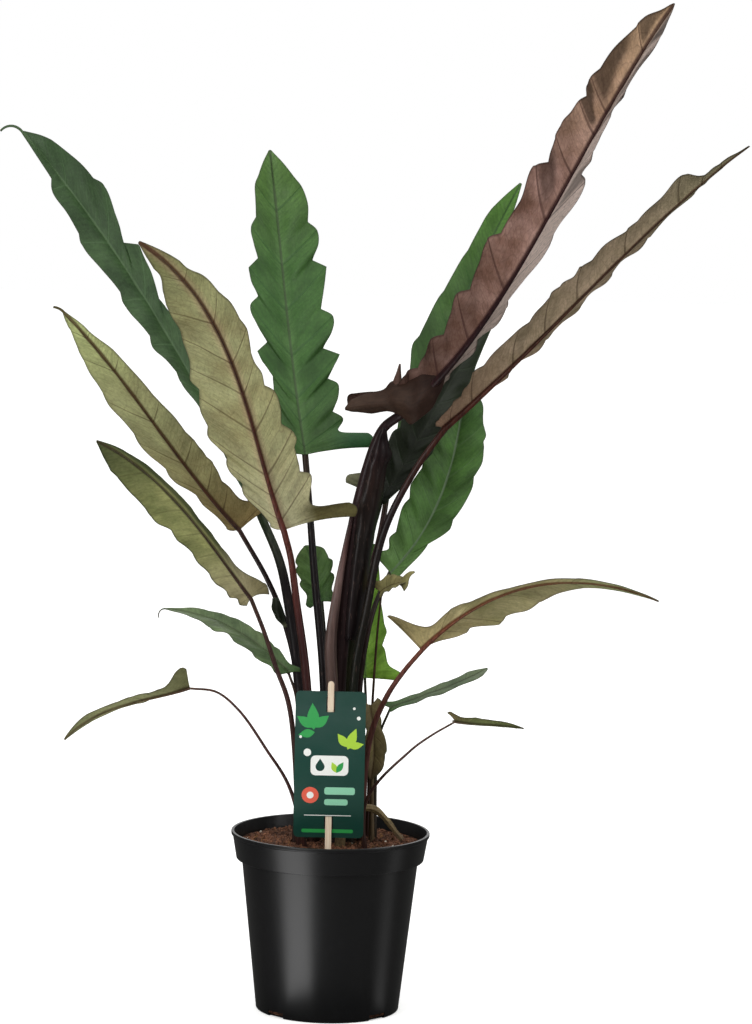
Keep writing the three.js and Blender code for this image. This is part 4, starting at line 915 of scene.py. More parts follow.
# Curled lobes and folds, each a grid of points in millimetres. It takes the look of one side of a leaf
scraps = {
    "leaf_08_curled_lobes": {"leaf": "leaf_08", "upper": False, "share": 0.5, "tone": {
        # darker than the blade and near black toward the foot: painted shade where the lobes curl in under
        # the blade
        "base": "#574335", "shade": "#39271b", "tip": "#6d5a48", "foot": "#1c0c09", "footReach": 0.85,
        "veinDepth": 0.2}, "grid": [
        [(5.5, -25, 524), (5.5, -26, 523), (5.5, -26, 522.5), (6, -25, 522)],
        [(10.5, -23, 530.5), (10, -27, 528), (10.5, -29, 524), (13, -25, 520.5)],
        [(24, -22, 536.5), (24, -29, 532), (25, -32, 526), (28, -27, 519.5)],
        [(38, -24, 540), (38, -30, 534), (40, -34, 528), (41, -29, 522)],
        [(44, -26, 547), (46, -33, 539), (47, -38, 530), (49, -33, 520)],
        [(53, -30, 548), (54, -38, 540), (55, -44, 529), (56, -38, 516)],
        [(61, -34, 553), (62, -42, 541), (61, -48, 527), (61, -42, 512)],
        [(69, -40, 556), (70, -47, 544), (69, -51, 532), (69, -47, 518)],
        [(78, -42, 560), (80, -47, 551), (80, -48, 539), (79, -46, 527)],
        [(88, -44, 574), (90, -46, 564), (89, -47, 552), (86, -44, 541)],
    ]},
    "leaf_08_spur": {"leaf": "leaf_08", "upper": False, "share": 0.02, "tone": {}, "grid": [
        [(44, -27, 544), (48, -31, 543), (53, -30, 546)],
        [(47, -27, 551), (50, -29, 550), (52.5, -28, 551)],
        [(50.5, -26, 562), (51, -26.5, 562), (51.5, -26, 562)],
    ]},
    # the bract takes leaf_11's upper side, which is painted near black with shade
    "leaf_01_bract": {"leaf": "leaf_11", "upper": True, "share": 0.3, "tone": {}, "grid": [
        [(-54, -5, 357), (-51, -9, 358), (-48, -5, 357)],
        [(-54, -7, 348), (-49, -11, 348), (-45, -3, 348)],
        [(-49, -5, 338), (-46, -8, 338), (-43, -2, 338)],
        [(-43, -2, 332), (-42, -4, 332), (-41, -2, 333)],
    ]},
    "leaf_13_curled_tip": {"leaf": "leaf_13", "upper": True, "share": 0.9, "tone": {}, "grid": [
        [(54, 12, 370), (57, 9, 368), (59, 8, 364)],
        [(58, 12, 376), (60, 8, 373), (62, 7, 369)],
        [(63, 9, 381), (64, 7, 380), (64, 6, 377)],
        [(67, 7, 382), (67.5, 6, 381.5), (68, 6, 381)],
    ]},
}
for name, scrap in scraps.items():
    look = leafLooks[scrap["leaf"]]
    above, below = leafSides(look)
    side = {**(above if scrap["upper"] else below), "farDepth": 0.0, **scrap["tone"]}
    skin = leafSkin(name + "_skin", side, scrap["upper"])
    piece = sheetPiece(name, freeSheet(scrap["grid"], scrap["share"]), (skin, skin, marginMaterial))
    onPlant(piece, look["slot"])

# The tallest stalk's base opens into a sheath that wraps its neighbours: its pale rim, whose lilac paleness
# is partly the edge's own colour and partly a painted highlight, then its wing
sheathRim = {
    "path": [(0, -14, 240), (-1, -15, 280), (-3, -15, 323), (2, -13, 367), (9, -12, 410), (13, -11, 431)],
    "radii": (4.5, 5.2, 5.2, 4, 2.6, 1.6), "sides": 18, "ridges": 5, "ridgeDepth": 0.06,
    "stops": ((0, "#2a1f1d"), (0.25, "#4a3a35"), (0.5, "#54423d"), (0.7, "#64504c"), (0.85, "#4a3330"),
              (1, "#241618")),
}
sheathWing = {
    "stops": ((0, "#171012"), (0.3, "#181311"), (0.55, "#241815"), (0.7, "#1d1213"), (1, "#1a1012")),
    "grid": [
        [(37, -15, 507), (38.5, -16.5, 507), (40, -16, 507), (41, -14, 507)],
        [(34, -14, 499.5), (36, -16, 499.5), (39, -15, 499.5), (41.5, -10, 499.5)],
        [(30.5, -13, 491), (34.5, -15.5, 491), (39.5, -13, 491), (43.5, -5, 490.5)],
        [(28, -12, 482), (33.5, -15, 482.5), (40.5, -12, 482.5), (45.5, -2, 481.5)],
        [(25.5, -11.5, 473.5), (30.5, -14.5, 474), (37.5, -11, 473.5), (42, -1, 473)],
        [(22.5, -11, 459.5), (28, -14, 460), (35, -11, 460), (40, 1, 459)],
        [(18.5, -10.5, 444), (24.5, -13, 444.5), (32.5, -10, 444.5), (38, 2, 443)],
        [(16.5, -10, 425), (22, -12.5, 425.5), (29.5, -9, 425), (34.5, 3, 424)],
        [(14.5, -9.5, 404.5), (19.5, -12, 404.5), (26.5, -8, 404.5), (31.5, 4, 403)],
        [(12.5, -9, 379), (17, -11.5, 379.5), (24, -7, 379), (28.5, 4, 378)],
        [(10.5, -8.5, 353), (14.5, -11, 353.5), (20.5, -7, 353), (25, 2, 352)],
        [(9, -8, 323), (12.5, -10, 323), (17, -7, 323), (20.5, -2, 322)],
    ],
}


def makeSheath():
    curve = catmullRom(sheathRim["path"])
    share = np.linspace(0, 1, int(curve["length"] / petioleShape["step"]))
    radii = np.interp(share, np.linspace(0, 1, len(sheathRim["radii"])), sheathRim["radii"])
    rim = tubePiece("leaf_08_sheath_rim", pointsAt(curve, share * curve["length"]), radii, share,
                    sheathRim["stops"], petioleMaterial, sheathRim["sides"], sheathRim["ridges"],
                    sheathRim["ridgeDepth"])
    wing = sheetPiece("leaf_08_sheath_wing", freeSheet(sheathWing["grid"], 1), [petioleMaterial] * 3)
    shares = np.empty(len(wing.data.vertices), np.float32)
    wing.data.attributes["share"].data.foreach_get("value", shares)
    addAttribute(wing, "tint", blendedTints(sheathWing["stops"], shares), "FLOAT_COLOR")
    return rim, wing


for piece in makeSheath():
    onPlant(piece, "stalk_dark")
print("leaves done")


def ringPoints(radius, count, z, offset=0):
    # Points around the axis at one height, from +X or from a part of a step past it
    turns = (2 * math.pi * (i + offset) / count for i in range(count))
    return [(radius * math.cos(turn), radius * math.sin(turn), z) for turn in turns]


def ringFaces(rings):
    # Faces between rings of point numbers. On the axis a ring is one point many times
    faces = []
    for low, high in zip(rings, rings[1:]):
        for i in range(len(low)):
            j = (i + 1) % len(low)
            face = tuple(dict.fromkeys((low[i], low[j], high[j], high[i])))
            if len(face) > 2:
                faces.append(face)
    return faces


def lathe(profile, segments):
    # A closed turned body from (radius, height) points that start and end on the axis
    points, rings = [], []
    for radius, height in profile:
        if radius < 1e-6:
            rings.append([len(points)] * segments)
            points.append((0, 0, height))
            continue
        rings.append(list(range(len(points), len(points) + segments)))
        points += ringPoints(radius, segments, height)
    return points, ringFaces(rings)


def roundedProfile(corners, steps=5):
    # (radius, height, rounding) corners to points, each rounded corner as a short curve
    points = []
    for i, (radius, height, rounding) in enumerate(corners):
        corner = Vector((radius, height))
        if rounding == 0:
            points.append(corner)
            continue
        before, after = Vector(corners[i - 1][:2]) - corner, Vector(corners[i + 1][:2]) - corner
        start, end = corner + before.normalized() * rounding, corner + after.normalized() * rounding
        for k in range(steps + 1):
            t = k / steps
            points.append(start * (1 - t) ** 2 + corner * 2 * t * (1 - t) + end * t ** 2)
    return [tuple(point) for point in points]


pot = {
    "height": 155.2, "rim": 85.8, "lip": 3, "band": 24, "bandFoot": 81, "bodyTop": 76.3, "base": 63,
    "wall": 1.5, "floor": 2, "segments": 160, "notches": 4, "notch": (16, 18, 10), "notchRing": 66.2,
    "holes": 6, "holeRadius": 4.5, "holeRing": 36, "holeSegments": 24, "sharpFrom": 40,
}
pot["bandBottom"] = pot["height"] - pot["band"]


def bodyInside(z):
    # Inner radius of the pot's body at a height, and of its band below
    return pot["base"] + (pot["bodyTop"] - pot["base"]) * z / pot["bandBottom"] - pot["wall"]


def bandInside(z):
    share = (z - pot["bandBottom"]) / pot["band"]
    return pot["bandFoot"] + (pot["rim"] - 1 - pot["bandFoot"]) * share - pot["wall"]


def mouldedPlastic():
    # Injection-moulded black polypropylene: satin, with faint flow marks and a grain 0.8 mm across
    material, tree, shader, place = newMaterial("moulded_polypropylene")
    upright = addNode(tree, "ShaderNodeMapping", {"Vector": place, "Scale": (30, 30, 5)})
    flow = addNode(tree, "ShaderNodeTexNoise", {"Vector": upright, "Scale": 1.0, "Detail": 3.0})
    grain = addNode(tree, "ShaderNodeTexNoise", {"Vector": place, "Scale": 1200.0, "Detail": 2.0})
    dust = addNode(tree, "ShaderNodeTexNoise", {"Vector": place, "Scale": 90.0, "Detail": 5.0})
    mask = addNode(tree, "ShaderNodeMapRange", {0: dust, 1: 0.55, 2: 0.8, 3: 0.0, 4: 0.25})
    tone = addNode(tree, "ShaderNodeMix", {0: mask, 6: colour("#0b0b0c"), 7: colour("#18191a")},
                   data_type="RGBA")
    rough = addNode(tree, "ShaderNodeMapRange", {0: flow, 1: 0.3, 2: 0.7, 3: 0.3, 4: 0.38})
    height = addNode(tree, "ShaderNodeMath", {0: flow, 1: 4.0, 2: grain}, operation="MULTIPLY_ADD")
    bump = addNode(tree, "ShaderNodeBump", {"Height": height, "Strength": 0.2, "Distance": 0.00012})
    setInputs(tree, shader, {"Base Color": tone, "Roughness": rough, "IOR": 1.4, "Normal": bump})
    return material


def makePot():
    ledge = pot["bandBottom"] + pot["wall"]
    lipFoot = pot["height"] - pot["lip"]
    corners = [
        (0, 0, 0), (pot["base"] - 1.2, 0, 1.2), (pot["bodyTop"], pot["bandBottom"], 0.5),
        (pot["bandFoot"], pot["bandBottom"], 0.8), (pot["rim"] - 1.3, lipFoot - 0.6, 0.4),
        (pot["rim"], lipFoot, 0.5), (pot["rim"], pot["height"], 0.8),
        (bandInside(pot["height"]), pot["height"], 0.5), (bandInside(ledge), ledge, 0.8),
        (bodyInside(ledge), ledge, 0.6), (bodyInside(pot["floor"]), pot["floor"], 1.5), (0, pot["floor"], 0),
    ]
    points, faces = lathe(roundedProfile(corners), pot["segments"])
    body = meshPiece("pot_body", points, faces, [mouldedPlastic()])
    cutters = bmesh.new()
    for i in range(pot["notches"]):
        place = Matrix.Rotation(math.pi / 4 + i * 2 * math.pi / pot["notches"], 4, "Z")
        place = place @ Matrix.Translation((pot["notchRing"] * mm, 0, 0))
        sizes = Matrix.Diagonal((*(size * mm for size in pot["notch"]), 1))
        bmesh.ops.create_cube(cutters, size=1, matrix=place @ sizes)
    for i in range(pot["holes"]):
        place = Matrix.Rotation(i * 2 * math.pi / pot["holes"], 4, "Z")
        place = place @ Matrix.Translation((pot["holeRing"] * mm, 0, 0))
        bmesh.ops.create_cone(cutters, cap_ends=True, segments=pot["holeSegments"],
                              radius1=pot["holeRadius"] * mm, radius2=pot["holeRadius"] * mm,
                              depth=pot["floor"] * 4 * mm, matrix=place)
    mesh = bpy.data.meshes.new("pot_cutters")
    cutters.to_mesh(mesh)
    cutters.free()
    cutter = newObject("pot_cutters", mesh)
    cut = body.modifiers.new("foot and drain cuts", "BOOLEAN")
    cut.object, cut.operation, cut.solver = cutter, "DIFFERENCE", "EXACT"
    piece = newObject("pot_with_band", plainMesh("pot_with_band", body))
    bpy.data.objects.remove(cutter)
    for edge in piece.data.edges:
        edge.use_edge_sharp = False
    piece.data.set_sharp_from_angle(angle=math.radians(pot["sharpFrom"]))
    return piece


onPlant(makePot(), "pot", "nursery_pot")
print("pot done")


soil = {
    "level": 144, "mound": 2.5, "relief": 1.5, "gap": 0.35, "segments": 144, "rings": 46,
    "crumbRelief": 1.6, "crumbSize": 5, "bedRings": 24, "bedSegments": 72, "bedMargin": 3.5, "seed": 11,
}


def soilHeight(x, y):
    # A low mound with soft lumps and fine crumbs, level at the pot's wall
    outward = min(math.hypot(x, y) / pot["rim"], 1)
    lumps = math.sin(x * 0.16 + 1.1) * math.cos(y * 0.19 - 0.4) + 0.6 * math.sin(x * 0.31 - y * 0.27)
    height = soil["level"] + soil["mound"] * (1 - outward ** 2) + soil["relief"] * lumps * (1 - outward ** 4)
    crumbs = noise.fractal(Vector((x, y, 3)) / soil["crumbSize"], 0.7, 2.1, 4)
    return height + soil["crumbRelief"] * crumbs * (1 - outward ** 6)


def peatSoil(name, light, dark):
    # Moist peat mix: matt, brown, dark in its pores, with fibres 0.5 mm wide and damp spots 20 mm across
    material, tree, shader, place = newMaterial(name)
    patches = addNode(tree, "ShaderNodeTexNoise", {
        "Vector": place, "Scale": 260.0, "Detail": 5.0, "Roughness": 0.65})
    pores = addNode(tree, "ShaderNodeTexVoronoi", {"Vector": place, "Scale": 700.0})
    share = addNode(tree, "ShaderNodeMapRange", {0: patches, 1: 0.35, 2: 0.68})
    tone = addNode(tree, "ShaderNodeMix", {0: share, 6: colour(dark), 7: colour(light)}, data_type="RGBA")
    damp = addNode(tree, "ShaderNodeTexNoise", {"Vector": place, "Scale": 48.0, "Detail": 2.0})
    dry = addNode(tree, "ShaderNodeMapRange", {0: damp, 1: 0.4, 2: 0.6, 3: 0.55, 4: 1.25})
    tone = addNode(tree, "ShaderNodeVectorMath", {0: tone, "Scale": dry}, operation="SCALE")
    height = addNode(tree, "ShaderNodeMath", {0: patches, 1: pores}, operation="ADD")
    bump = addNode(tree, "ShaderNodeBump", {"Height": height, "Strength": 0.9, "Distance": 0.0008})
    setInputs(tree, shader, {"Base Color": tone, "Roughness": 0.92, "Specular IOR Level": 0.2,
                             "Normal": bump})
    return material


def makeSoil():
    # The mass of soil and the radius of its level edge
    gap, level, rings = soil["gap"], soil["level"], soil["rings"]
    ledge = pot["bandBottom"] + pot["wall"] + gap
    edge = bandInside(level) - gap - 0.4
    profile = [(0, pot["floor"] + gap), (bodyInside(pot["floor"]) - gap, pot["floor"] + gap),
               (bodyInside(ledge) - gap, ledge), (bandInside(ledge) - gap, ledge),
               *((edge * (1 - k / rings), level) for k in range(rings)), (0, level)]
    points, faces = lathe(profile, soil["segments"])
    points = [(x, y, soilHeight(x, y)) if abs(z - level) < 0.01 and math.hypot(x, y) < edge - 0.5
              else (x, y, z) for x, y, z in points]
    material = peatSoil("moist_peat_mix", "#865b43", "#33211a")
    return meshPiece("potting_soil_mass", points, faces, [material]), edge


def chunk(name, sizes, roughness, seed, collection):
    # One irregular bit with a few dozen faces
    mesh = bmesh.new()
    bmesh.ops.create_icosphere(mesh, subdivisions=1, radius=1)
    for vertex in mesh.verts:
        push = 1 + roughness * noise.noise(vertex.co * 1.7 + Vector((seed * 7.3, seed, 0)))
        vertex.co = Vector(axis * size for axis, size in zip(vertex.co * push, sizes)) * mm
    data = bpy.data.meshes.new(name)
    mesh.to_mesh(data)
    mesh.free()
    bit = bpy.data.objects.new(name, data)
    collection.objects.link(bit)
    return bit


def scatterTree():
    # Strews the bits of a collection over a surface, turned and scaled at random
    tree, given = newTree("soilBits", (("bits", "Collection"), ("per square metre", "Float"),
                                       ("smallest", "Float"), ("largest", "Float"), ("seed", "Int")))
    spots = addNode(tree, "GeometryNodeDistributePointsOnFaces", {
        "Mesh": given["Geometry"], "Density": given["per square metre"], "Seed": given["seed"]})
    bits = addNode(tree, "GeometryNodeCollectionInfo", {
        "Collection": given["bits"], "Separate Children": True, "Reset Children": True})
    turn = addNode(tree, "FunctionNodeRandomValue", {
        0: (0, 0, 0), 1: (6.28, 6.28, 6.28), "Seed": given["seed"]}, data_type="FLOAT_VECTOR")
    size = addNode(tree, "FunctionNodeRandomValue", {
        2: given["smallest"], 3: given["largest"], "Seed": given["seed"]}, data_type="FLOAT")
    rotation = addNode(tree, "FunctionNodeEulerToRotation", {0: turn})
    strewn = addNode(tree, "GeometryNodeInstanceOnPoints", {
        "Points": spots, "Instance": bits, "Pick Instance": True, "Rotation": rotation, "Scale": size})
    return closeTree(tree, given, strewn)


def soilTop(edge, name):
    # A bare patch of the surface for the bits to lie on, clear of the pot's wall
    rings, segments = soil["bedRings"], soil["bedSegments"]
    points, faces = [], []
    for k in range(rings + 1):
        ring = ringPoints((edge - soil["bedMargin"]) * max(k / rings, 0.01), segments, 0)
        points += [(x, y, soilHeight(x, y)) for x, y, _ in ring]
    for k in range(rings):
        for i in range(segments):
            j = (i + 1) % segments
            faces.append((k * segments + i, (k + 1) * segments + i, (k + 1) * segments + j, k * segments + j))
    return meshPiece(name, points, faces)


# Loose bits on the soil: their shapes, how many to a square metre, their sizes and what they are made of
bitKinds = {
    "peat_clods": {
        "shapes": ((1, 0.8, 0.7), (1, 0.6, 0.9), (0.9, 0.9, 0.6)), "roughness": 0.9, "density": 52000.0,
        "sizes": (0.8, 2.4), "material": ("peat_crumbs", "#96684d", "#402b25"),
    },
    "bark_flakes": {
        "shapes": ((1, 0.45, 0.2), (1.2, 0.5, 0.3), (1, 0.7, 0.25)), "roughness": 0.6, "density": 9000.0,
        "sizes": (1.4, 3.2), "material": ("fine_bark", "#9d734c", "#4e3424"),
    },
    "perlite_grains": {
        "shapes": ((1, 0.9, 0.8), (0.8, 0.9, 1)), "roughness": 0.7, "density": 1500.0,
        "sizes": (0.7, 1.5), "material": ("expanded_perlite", "#e4ddcf", "#b8ad9b"),
    },
}
soilPiece, soilEdge = makeSoil()
onPlant(soilPiece, "soil", "potting_soil")
scatter = scatterTree()
for offset, (name, kind) in enumerate(bitKinds.items()):
    bits = bpy.data.collections.new(name)
    shapes = [chunk(f"{name}_{i}", sizes, kind["roughness"], i + offset * 5, bits)
              for i, sizes in enumerate(kind["shapes"])]
    smallest, largest = kind["sizes"]
    piece = applyTree(name, soilTop(soilEdge, name + "_bed"), scatter, {
        "bits": bits, "per square metre": kind["density"], "smallest": smallest, "largest": largest,
        "seed": soil["seed"] + offset, "material": peatSoil(*kind["material"])})
    for shape in shapes:
        bpy.data.objects.remove(shape)
    bpy.data.collections.remove(bits)
    onPlant(piece, "soil")
print("soil done")


card = {
    "width": 59.7, "bottom": 158, "top": 284, "centreX": -1.4, "planeY": -50, "bow": 8.5, "thickness": 0.55,
    "corner": 4, "slotLower": 171, "slotUpper": 273, "slotWidth": 7.4, "slotHeight": 12.5, "slotCorner": 0.6,
    "bandStep": 4, "inkLift": 0.02,
}


def cardOffset(z):
    # How far the card bows forward between its slots, and a little back beyond them
    swing = math.sin(math.pi * (z - card["slotLower"]) / (card["slotUpper"] - card["slotLower"]))
    return -card["bow"] * (swing * 0.9 if swing < 0 else swing)


def placed(outline, x, z, turn=0):
    # An outline in x and z turned by degrees and moved
    c, s = math.cos(math.radians(turn)), math.sin(math.radians(turn))
    return [(x + px * c - pz * s, z + px * s + pz * c) for px, pz in outline]


def arc(x, z, radius, start, step, count):
    angles = (math.radians(start + step * k) for k in range(count))
    return [(x + radius * math.cos(angle), z + radius * math.sin(angle)) for angle in angles]


def roundedBox(x, z, width, height, rounding):
    outline = []
    reachX, reachZ = width / 2 - rounding, height / 2 - rounding
    for i, (sx, sz) in enumerate(((1, -1), (1, 1), (-1, 1), (-1, -1))):
        outline += arc(sx * reachX, sz * reachZ, rounding, -90 + 90 * i, 22.5, 5)
    return placed(outline, x, z)


def disc(x, z, radius):
    return arc(x, z, radius, 0, 360 / 28, 28)


def leaflet(x, z, length, width, turn):
    # A pointed oval that grows from (x, z)
    side = [(width / 2 * math.sin(math.pi * t) * (1.25 - 0.5 * t), length * t)
            for t in (0.0, 0.1, 0.25, 0.4, 0.55, 0.7, 0.85, 1.0)]
    return placed(side + [(-px, pz) for px, pz in reversed(side[1:-1])], x, z, turn)


def drop(x, z, size):
    return placed([(0, size), *arc(0, 0, size * 0.55, 150, 20, 13)], x, z)


# Printed areas of the card, from the back forward: (ink, outline)
cardArt = [
    ("bright", leaflet(-14, 252, 22, 10, 4)), ("bright", leaflet(-14, 254, 17, 8, 58)),
    ("bright", leaflet(-14, 254, 16, 8, -52)), ("bright", leaflet(-13, 250, 14, 7, 100)),
    ("lime", leaflet(15, 236, 19, 8, -22)), ("lime", leaflet(15, 238, 14, 7, 38)),
    ("lime", leaflet(16, 238, 13, 6, -78)),
    ("white", roundedBox(0, 222, 32, 17, 4)), ("white", disc(-19, 233, 3.2)), ("white", disc(24, 262, 1.6)),
    ("white", disc(20, 270, 1.1)), ("white", disc(-25, 246, 1.2)),
    ("ground", drop(-8, 221, 7)), ("lime", leaflet(6, 216, 10, 5, 24)),
    ("bright", leaflet(6, 216, 11, 5, -32)),
    ("coral", disc(-16, 196, 7.2)), ("white", disc(-16, 196, 3)),
    ("mint", roundedBox(9, 200, 26, 6.5, 2)), ("mint", roundedBox(6, 190, 20, 5.5, 2)),
    ("white", roundedBox(-1, 178, 40, 0.7, 0.3)), ("bright", roundedBox(-1, 164, 44, 3.2, 1.4)),
]
inkColours = {
    "ground": "#123d33", "bright": "#2f9a4c", "lime": "#a8cf3f", "white": "#eef0ea", "coral": "#e0604a",
    "mint": "#8fd0ad",
}


def printedSheet(name, text):
    # Printed and laminated card: smooth sheen, ink a little uneven over a weave 0.4 mm across
    material, tree, shader, place = newMaterial(name)
    weave = addNode(tree, "ShaderNodeTexNoise", {"Vector": place, "Scale": 2500.0, "Detail": 2.0})
    light = addNode(tree, "ShaderNodeMapRange", {0: weave, 1: 0.3, 2: 0.7, 3: 0.94, 4: 1.06})
    ink = addNode(tree, "ShaderNodeVectorMath", {0: colour(text)[:3], "Scale": light}, operation="SCALE")
    smudge = addNode(tree, "ShaderNodeTexNoise", {"Vector": place, "Scale": 60.0})
    rough = addNode(tree, "ShaderNodeMapRange", {0: smudge, 1: 0.3, 2: 0.7, 3: 0.32, 4: 0.42})
    setInputs(tree, shader, {"Base Color": ink, "Roughness": rough})
    return material


def flatOutline(outline, holes=()):
    # The filled flat shape of an outline in x and z, as a bmesh
    curve = bpy.data.curves.new("outline", "CURVE")
    curve.dimensions = "2D"
    curve.fill_mode = "BOTH"
    for ring in (outline, *holes):
        spline = curve.splines.new("POLY")
        spline.points.add(len(ring) - 1)
        for point, (x, z) in zip(spline.points, ring):
            point.co = (x, z, 0, 1)
        spline.use_cyclic_u = True
    flat = plainMesh("outline", newObject("outline", curve))
    mesh = bmesh.new()
    mesh.from_mesh(flat)
    bpy.data.meshes.remove(flat)
    bmesh.ops.remove_doubles(mesh, verts=mesh.verts, dist=0.001)
    for vertex in mesh.verts:
        vertex.co = (vertex.co.x, 0, vertex.co.y)
    return mesh


def bentSheet(name, outline, holes, lift, thickness, material):
    # A flat shape cut into bands, bent to the card's bow and given a thickness
    mesh = flatOutline(outline, holes)
    low, high = min(z for _, z in outline), max(z for _, z in outline)
    for z in np.arange(math.ceil(low / card["bandStep"]) * card["bandStep"], high, card["bandStep"]):
        parts = mesh.verts[:] + mesh.edges[:] + mesh.faces[:]
        bmesh.ops.bisect_plane(mesh, geom=parts, plane_co=(0, 0, z), plane_no=(0, 0, 1))
    # the front of a face looks to -Y
    for face in mesh.faces:
        face.normal_update()
        if face.normal.y > 0:
            face.normal_flip()
    for vertex in mesh.verts:
        vertex.co.x += card["centreX"]
        vertex.co.y = card["planeY"] + cardOffset(vertex.co.z) - lift
    front = mesh.faces[:]
    borderEdges = [edge for edge in mesh.edges if edge.is_boundary]
    copy = bmesh.ops.duplicate(mesh, geom=front)
    for face in copy["geom"]:
        if isinstance(face, bmesh.types.BMFace):
            face.normal_flip()
    backOf = {vertex: copy["vert_map"][vertex] for face in front for vertex in face.verts}
    for vertex in backOf.values():
        vertex.co.y += thickness
    for edge in borderEdges:
        loop = edge.link_loops[0]
        start, end = loop.vert, loop.link_loop_next.vert
        mesh.faces.new((end, start, backOf[start], backOf[end]))
    bmesh.ops.scale(mesh, vec=(mm, mm, mm), verts=mesh.verts)
    data = bpy.data.meshes.new(name)
    mesh.to_mesh(data)
    mesh.free()
    data.materials.append(material)
    return newObject(name, data)


def makeCard():
    middle = (card["bottom"] + card["top"]) / 2
    outline = roundedBox(0, middle, card["width"], card["top"] - card["bottom"], card["corner"])
    slots = [roundedBox(0, z, card["slotWidth"], card["slotHeight"], card["slotCorner"])
             for z in (card["slotLower"], card["slotUpper"])]
    inks = {name: printedSheet("printed_card_" + name, text) for name, text in inkColours.items()}
    sheet = bentSheet("card_sheet", outline, slots, 0, card["thickness"], inks["ground"])
    lift = card["inkLift"]
    prints = [bentSheet(f"card_print_{i}", art, (), lift * (2 + i * 0.25), lift, inks[ink])
              for i, (ink, art) in enumerate(cardArt)]
    with bpy.context.temp_override(active_object=sheet, selected_editable_objects=[sheet, *prints]):
        bpy.ops.object.join()
    sheet.name = "printed_care_card"
    return sheet


onPlant(makeCard(), "card", "care_card")


stick = {
    "width": 5.4, "thickness": 1.6, "top": 293, "bottom": 118, "x": -1.4, "y": -50, "pointed": 8,
    "point": 0.3, "dome": 2.7, "sides": 16, "bands": 30, "boxiness": (0.35, 0.55),
}


def paleWood():
    # Split bamboo or birch: long grain lines 0.3 mm wide, a few darker pores
    material, tree, shader, place = newMaterial("split_wood")
    along = addNode(tree, "ShaderNodeMapping", {"Vector": place, "Scale": (1800, 1800, 30)})
    lines = addNode(tree, "ShaderNodeTexNoise", {"Vector": along, "Scale": 1.0, "Detail": 3.0})
    share = addNode(tree, "ShaderNodeMapRange", {0: lines, 1: 0.35, 2: 0.7})
    tone = addNode(tree, "ShaderNodeMix", {0: share, 6: colour("#eadcc4"), 7: colour("#cdae8e")},
                   data_type="RGBA")
    bump = addNode(tree, "ShaderNodeBump", {"Height": lines, "Strength": 0.4, "Distance": 0.0002})
    setInputs(tree, shader, {"Base Color": tone, "Roughness": 0.62, "Normal": bump})
    return material


def makeStick():
    # A flat stick with rounded edges, tapered to its point in the soil and round at its top
    dome, taperTop = stick["top"] - stick["dome"], stick["bottom"] + stick["pointed"]
    heights = [stick["bottom"], *np.linspace(taperTop, dome, stick["bands"]),
               *(dome + stick["dome"] * np.sin(np.radians([22, 45, 65, 82, 90])))]
    count = stick["sides"]
    halfDepth, (boxinessX, boxinessY) = stick["thickness"] / 2, stick["boxiness"]
    points = []
    for z in heights:
        width = stick["width"] / 2
        if z < taperTop:
            width *= stick["point"]
        if z > dome:
            width *= max(math.sqrt(max(1 - ((z - dome) / stick["dome"]) ** 2, 0)), 0.08)
        for c, s, _ in ringPoints(1, count, 0, 0.5):
            points.append((stick["x"] + width * math.copysign(abs(c) ** boxinessX, c),
                           stick["y"] + halfDepth * math.copysign(abs(s) ** boxinessY, s), z))
    rings = [range(first, first + count) for first in range(0, len(points), count)]
    faces = [*ringFaces(rings), tuple(reversed(rings[0])), tuple(rings[-1])]
    return meshPiece("wooden_stick", points, faces, [paleWood()])


onPlant(makeStick(), "stick", "card_stick")
print("card done")


limp = {
    "path": [(7, -27, 118), (14, -25, 174), (36, -15, 178), (62, -12, 151)], "radii": (4.4, 3.6, 2.2),
    "stops": ((0, "#4a3a26"), (0.4, "#6b5a38"), (0.8, "#7a6a45"), (1, "#54422c")),
    "rows": 60, "sides": 24, "ridges": 6, "ridgeDepth": 0.14,
}


def dryStalkSkin():
    # Limp, drying stalk: matt, with lengthwise creases 1 mm apart
    material, tree, shader, place = newMaterial("drying_stalk_skin")
    tint = addNode(tree, "ShaderNodeAttribute", attribute_name="tint").outputs["Color"]
    creases = addNode(tree, "ShaderNodeTexNoise", {"Vector": place, "Scale": 500.0, "Detail": 4.0})
    light = addNode(tree, "ShaderNodeMapRange", {0: creases, 1: 0.3, 2: 0.7, 3: 0.55, 4: 1.4})
    tone = addNode(tree, "ShaderNodeVectorMath", {0: tint, "Scale": light}, operation="SCALE")
    bump = addNode(tree, "ShaderNodeBump", {"Height": creases, "Strength": 0.8, "Distance": 0.0006})
    setInputs(tree, shader, {"Base Color": tone, "Roughness": 0.72, "Normal": bump})
    return material


def makeLimpStalk():
    curve = catmullRom(limp["path"])
    share = np.linspace(0, 1, limp["rows"])
    radii = np.interp(share, (0, 0.5, 1), limp["radii"])
    radii = radii * (1 + 0.1 * np.sin(share * 46) * smoothStep(share, 0.3, 0.5))
    return tubePiece("limp_spent_stalk", pointsAt(curve, share * curve["length"]), radii, share,
                     limp["stops"], dryStalkSkin(), limp["sides"], limp["ridges"], limp["ridgeDepth"])


onPlant(makeLimpStalk(), "stalk_pale", "spent_stalk")
print("limp stalk done")


photo = {
    "camera": (0.0334, -3.2, 0.758), "pitch": 5.8, "roll": 1.23, "lens": 131.9, "sensor": 36,
    "clip": (0.1, 100), "floor": "#f4f4f2", "hiddenFloor": "#484846", "glow": 0.42,
    "cardApex": (0, -0.04, 0), "world": 0.24, "floorRadius": 14, "floorLevel": -0.2, "floorSides": 96,
    "aim": (0, 0, 0.4), "sun": 2.0, "sunSpread": 100, "sunTilt": 14,
}
# Softboxes: place, width and height, power
studioLights = {
    "key": ((-1.5, -1.9, 1.1), (0.9, 2.0), 28), "fill": ((2.0, -0.9, 1.0), (0.5, 1.8), 12),
    "back": ((0.3, 2.4, 1.3), (2.4, 1.6), 14),
}
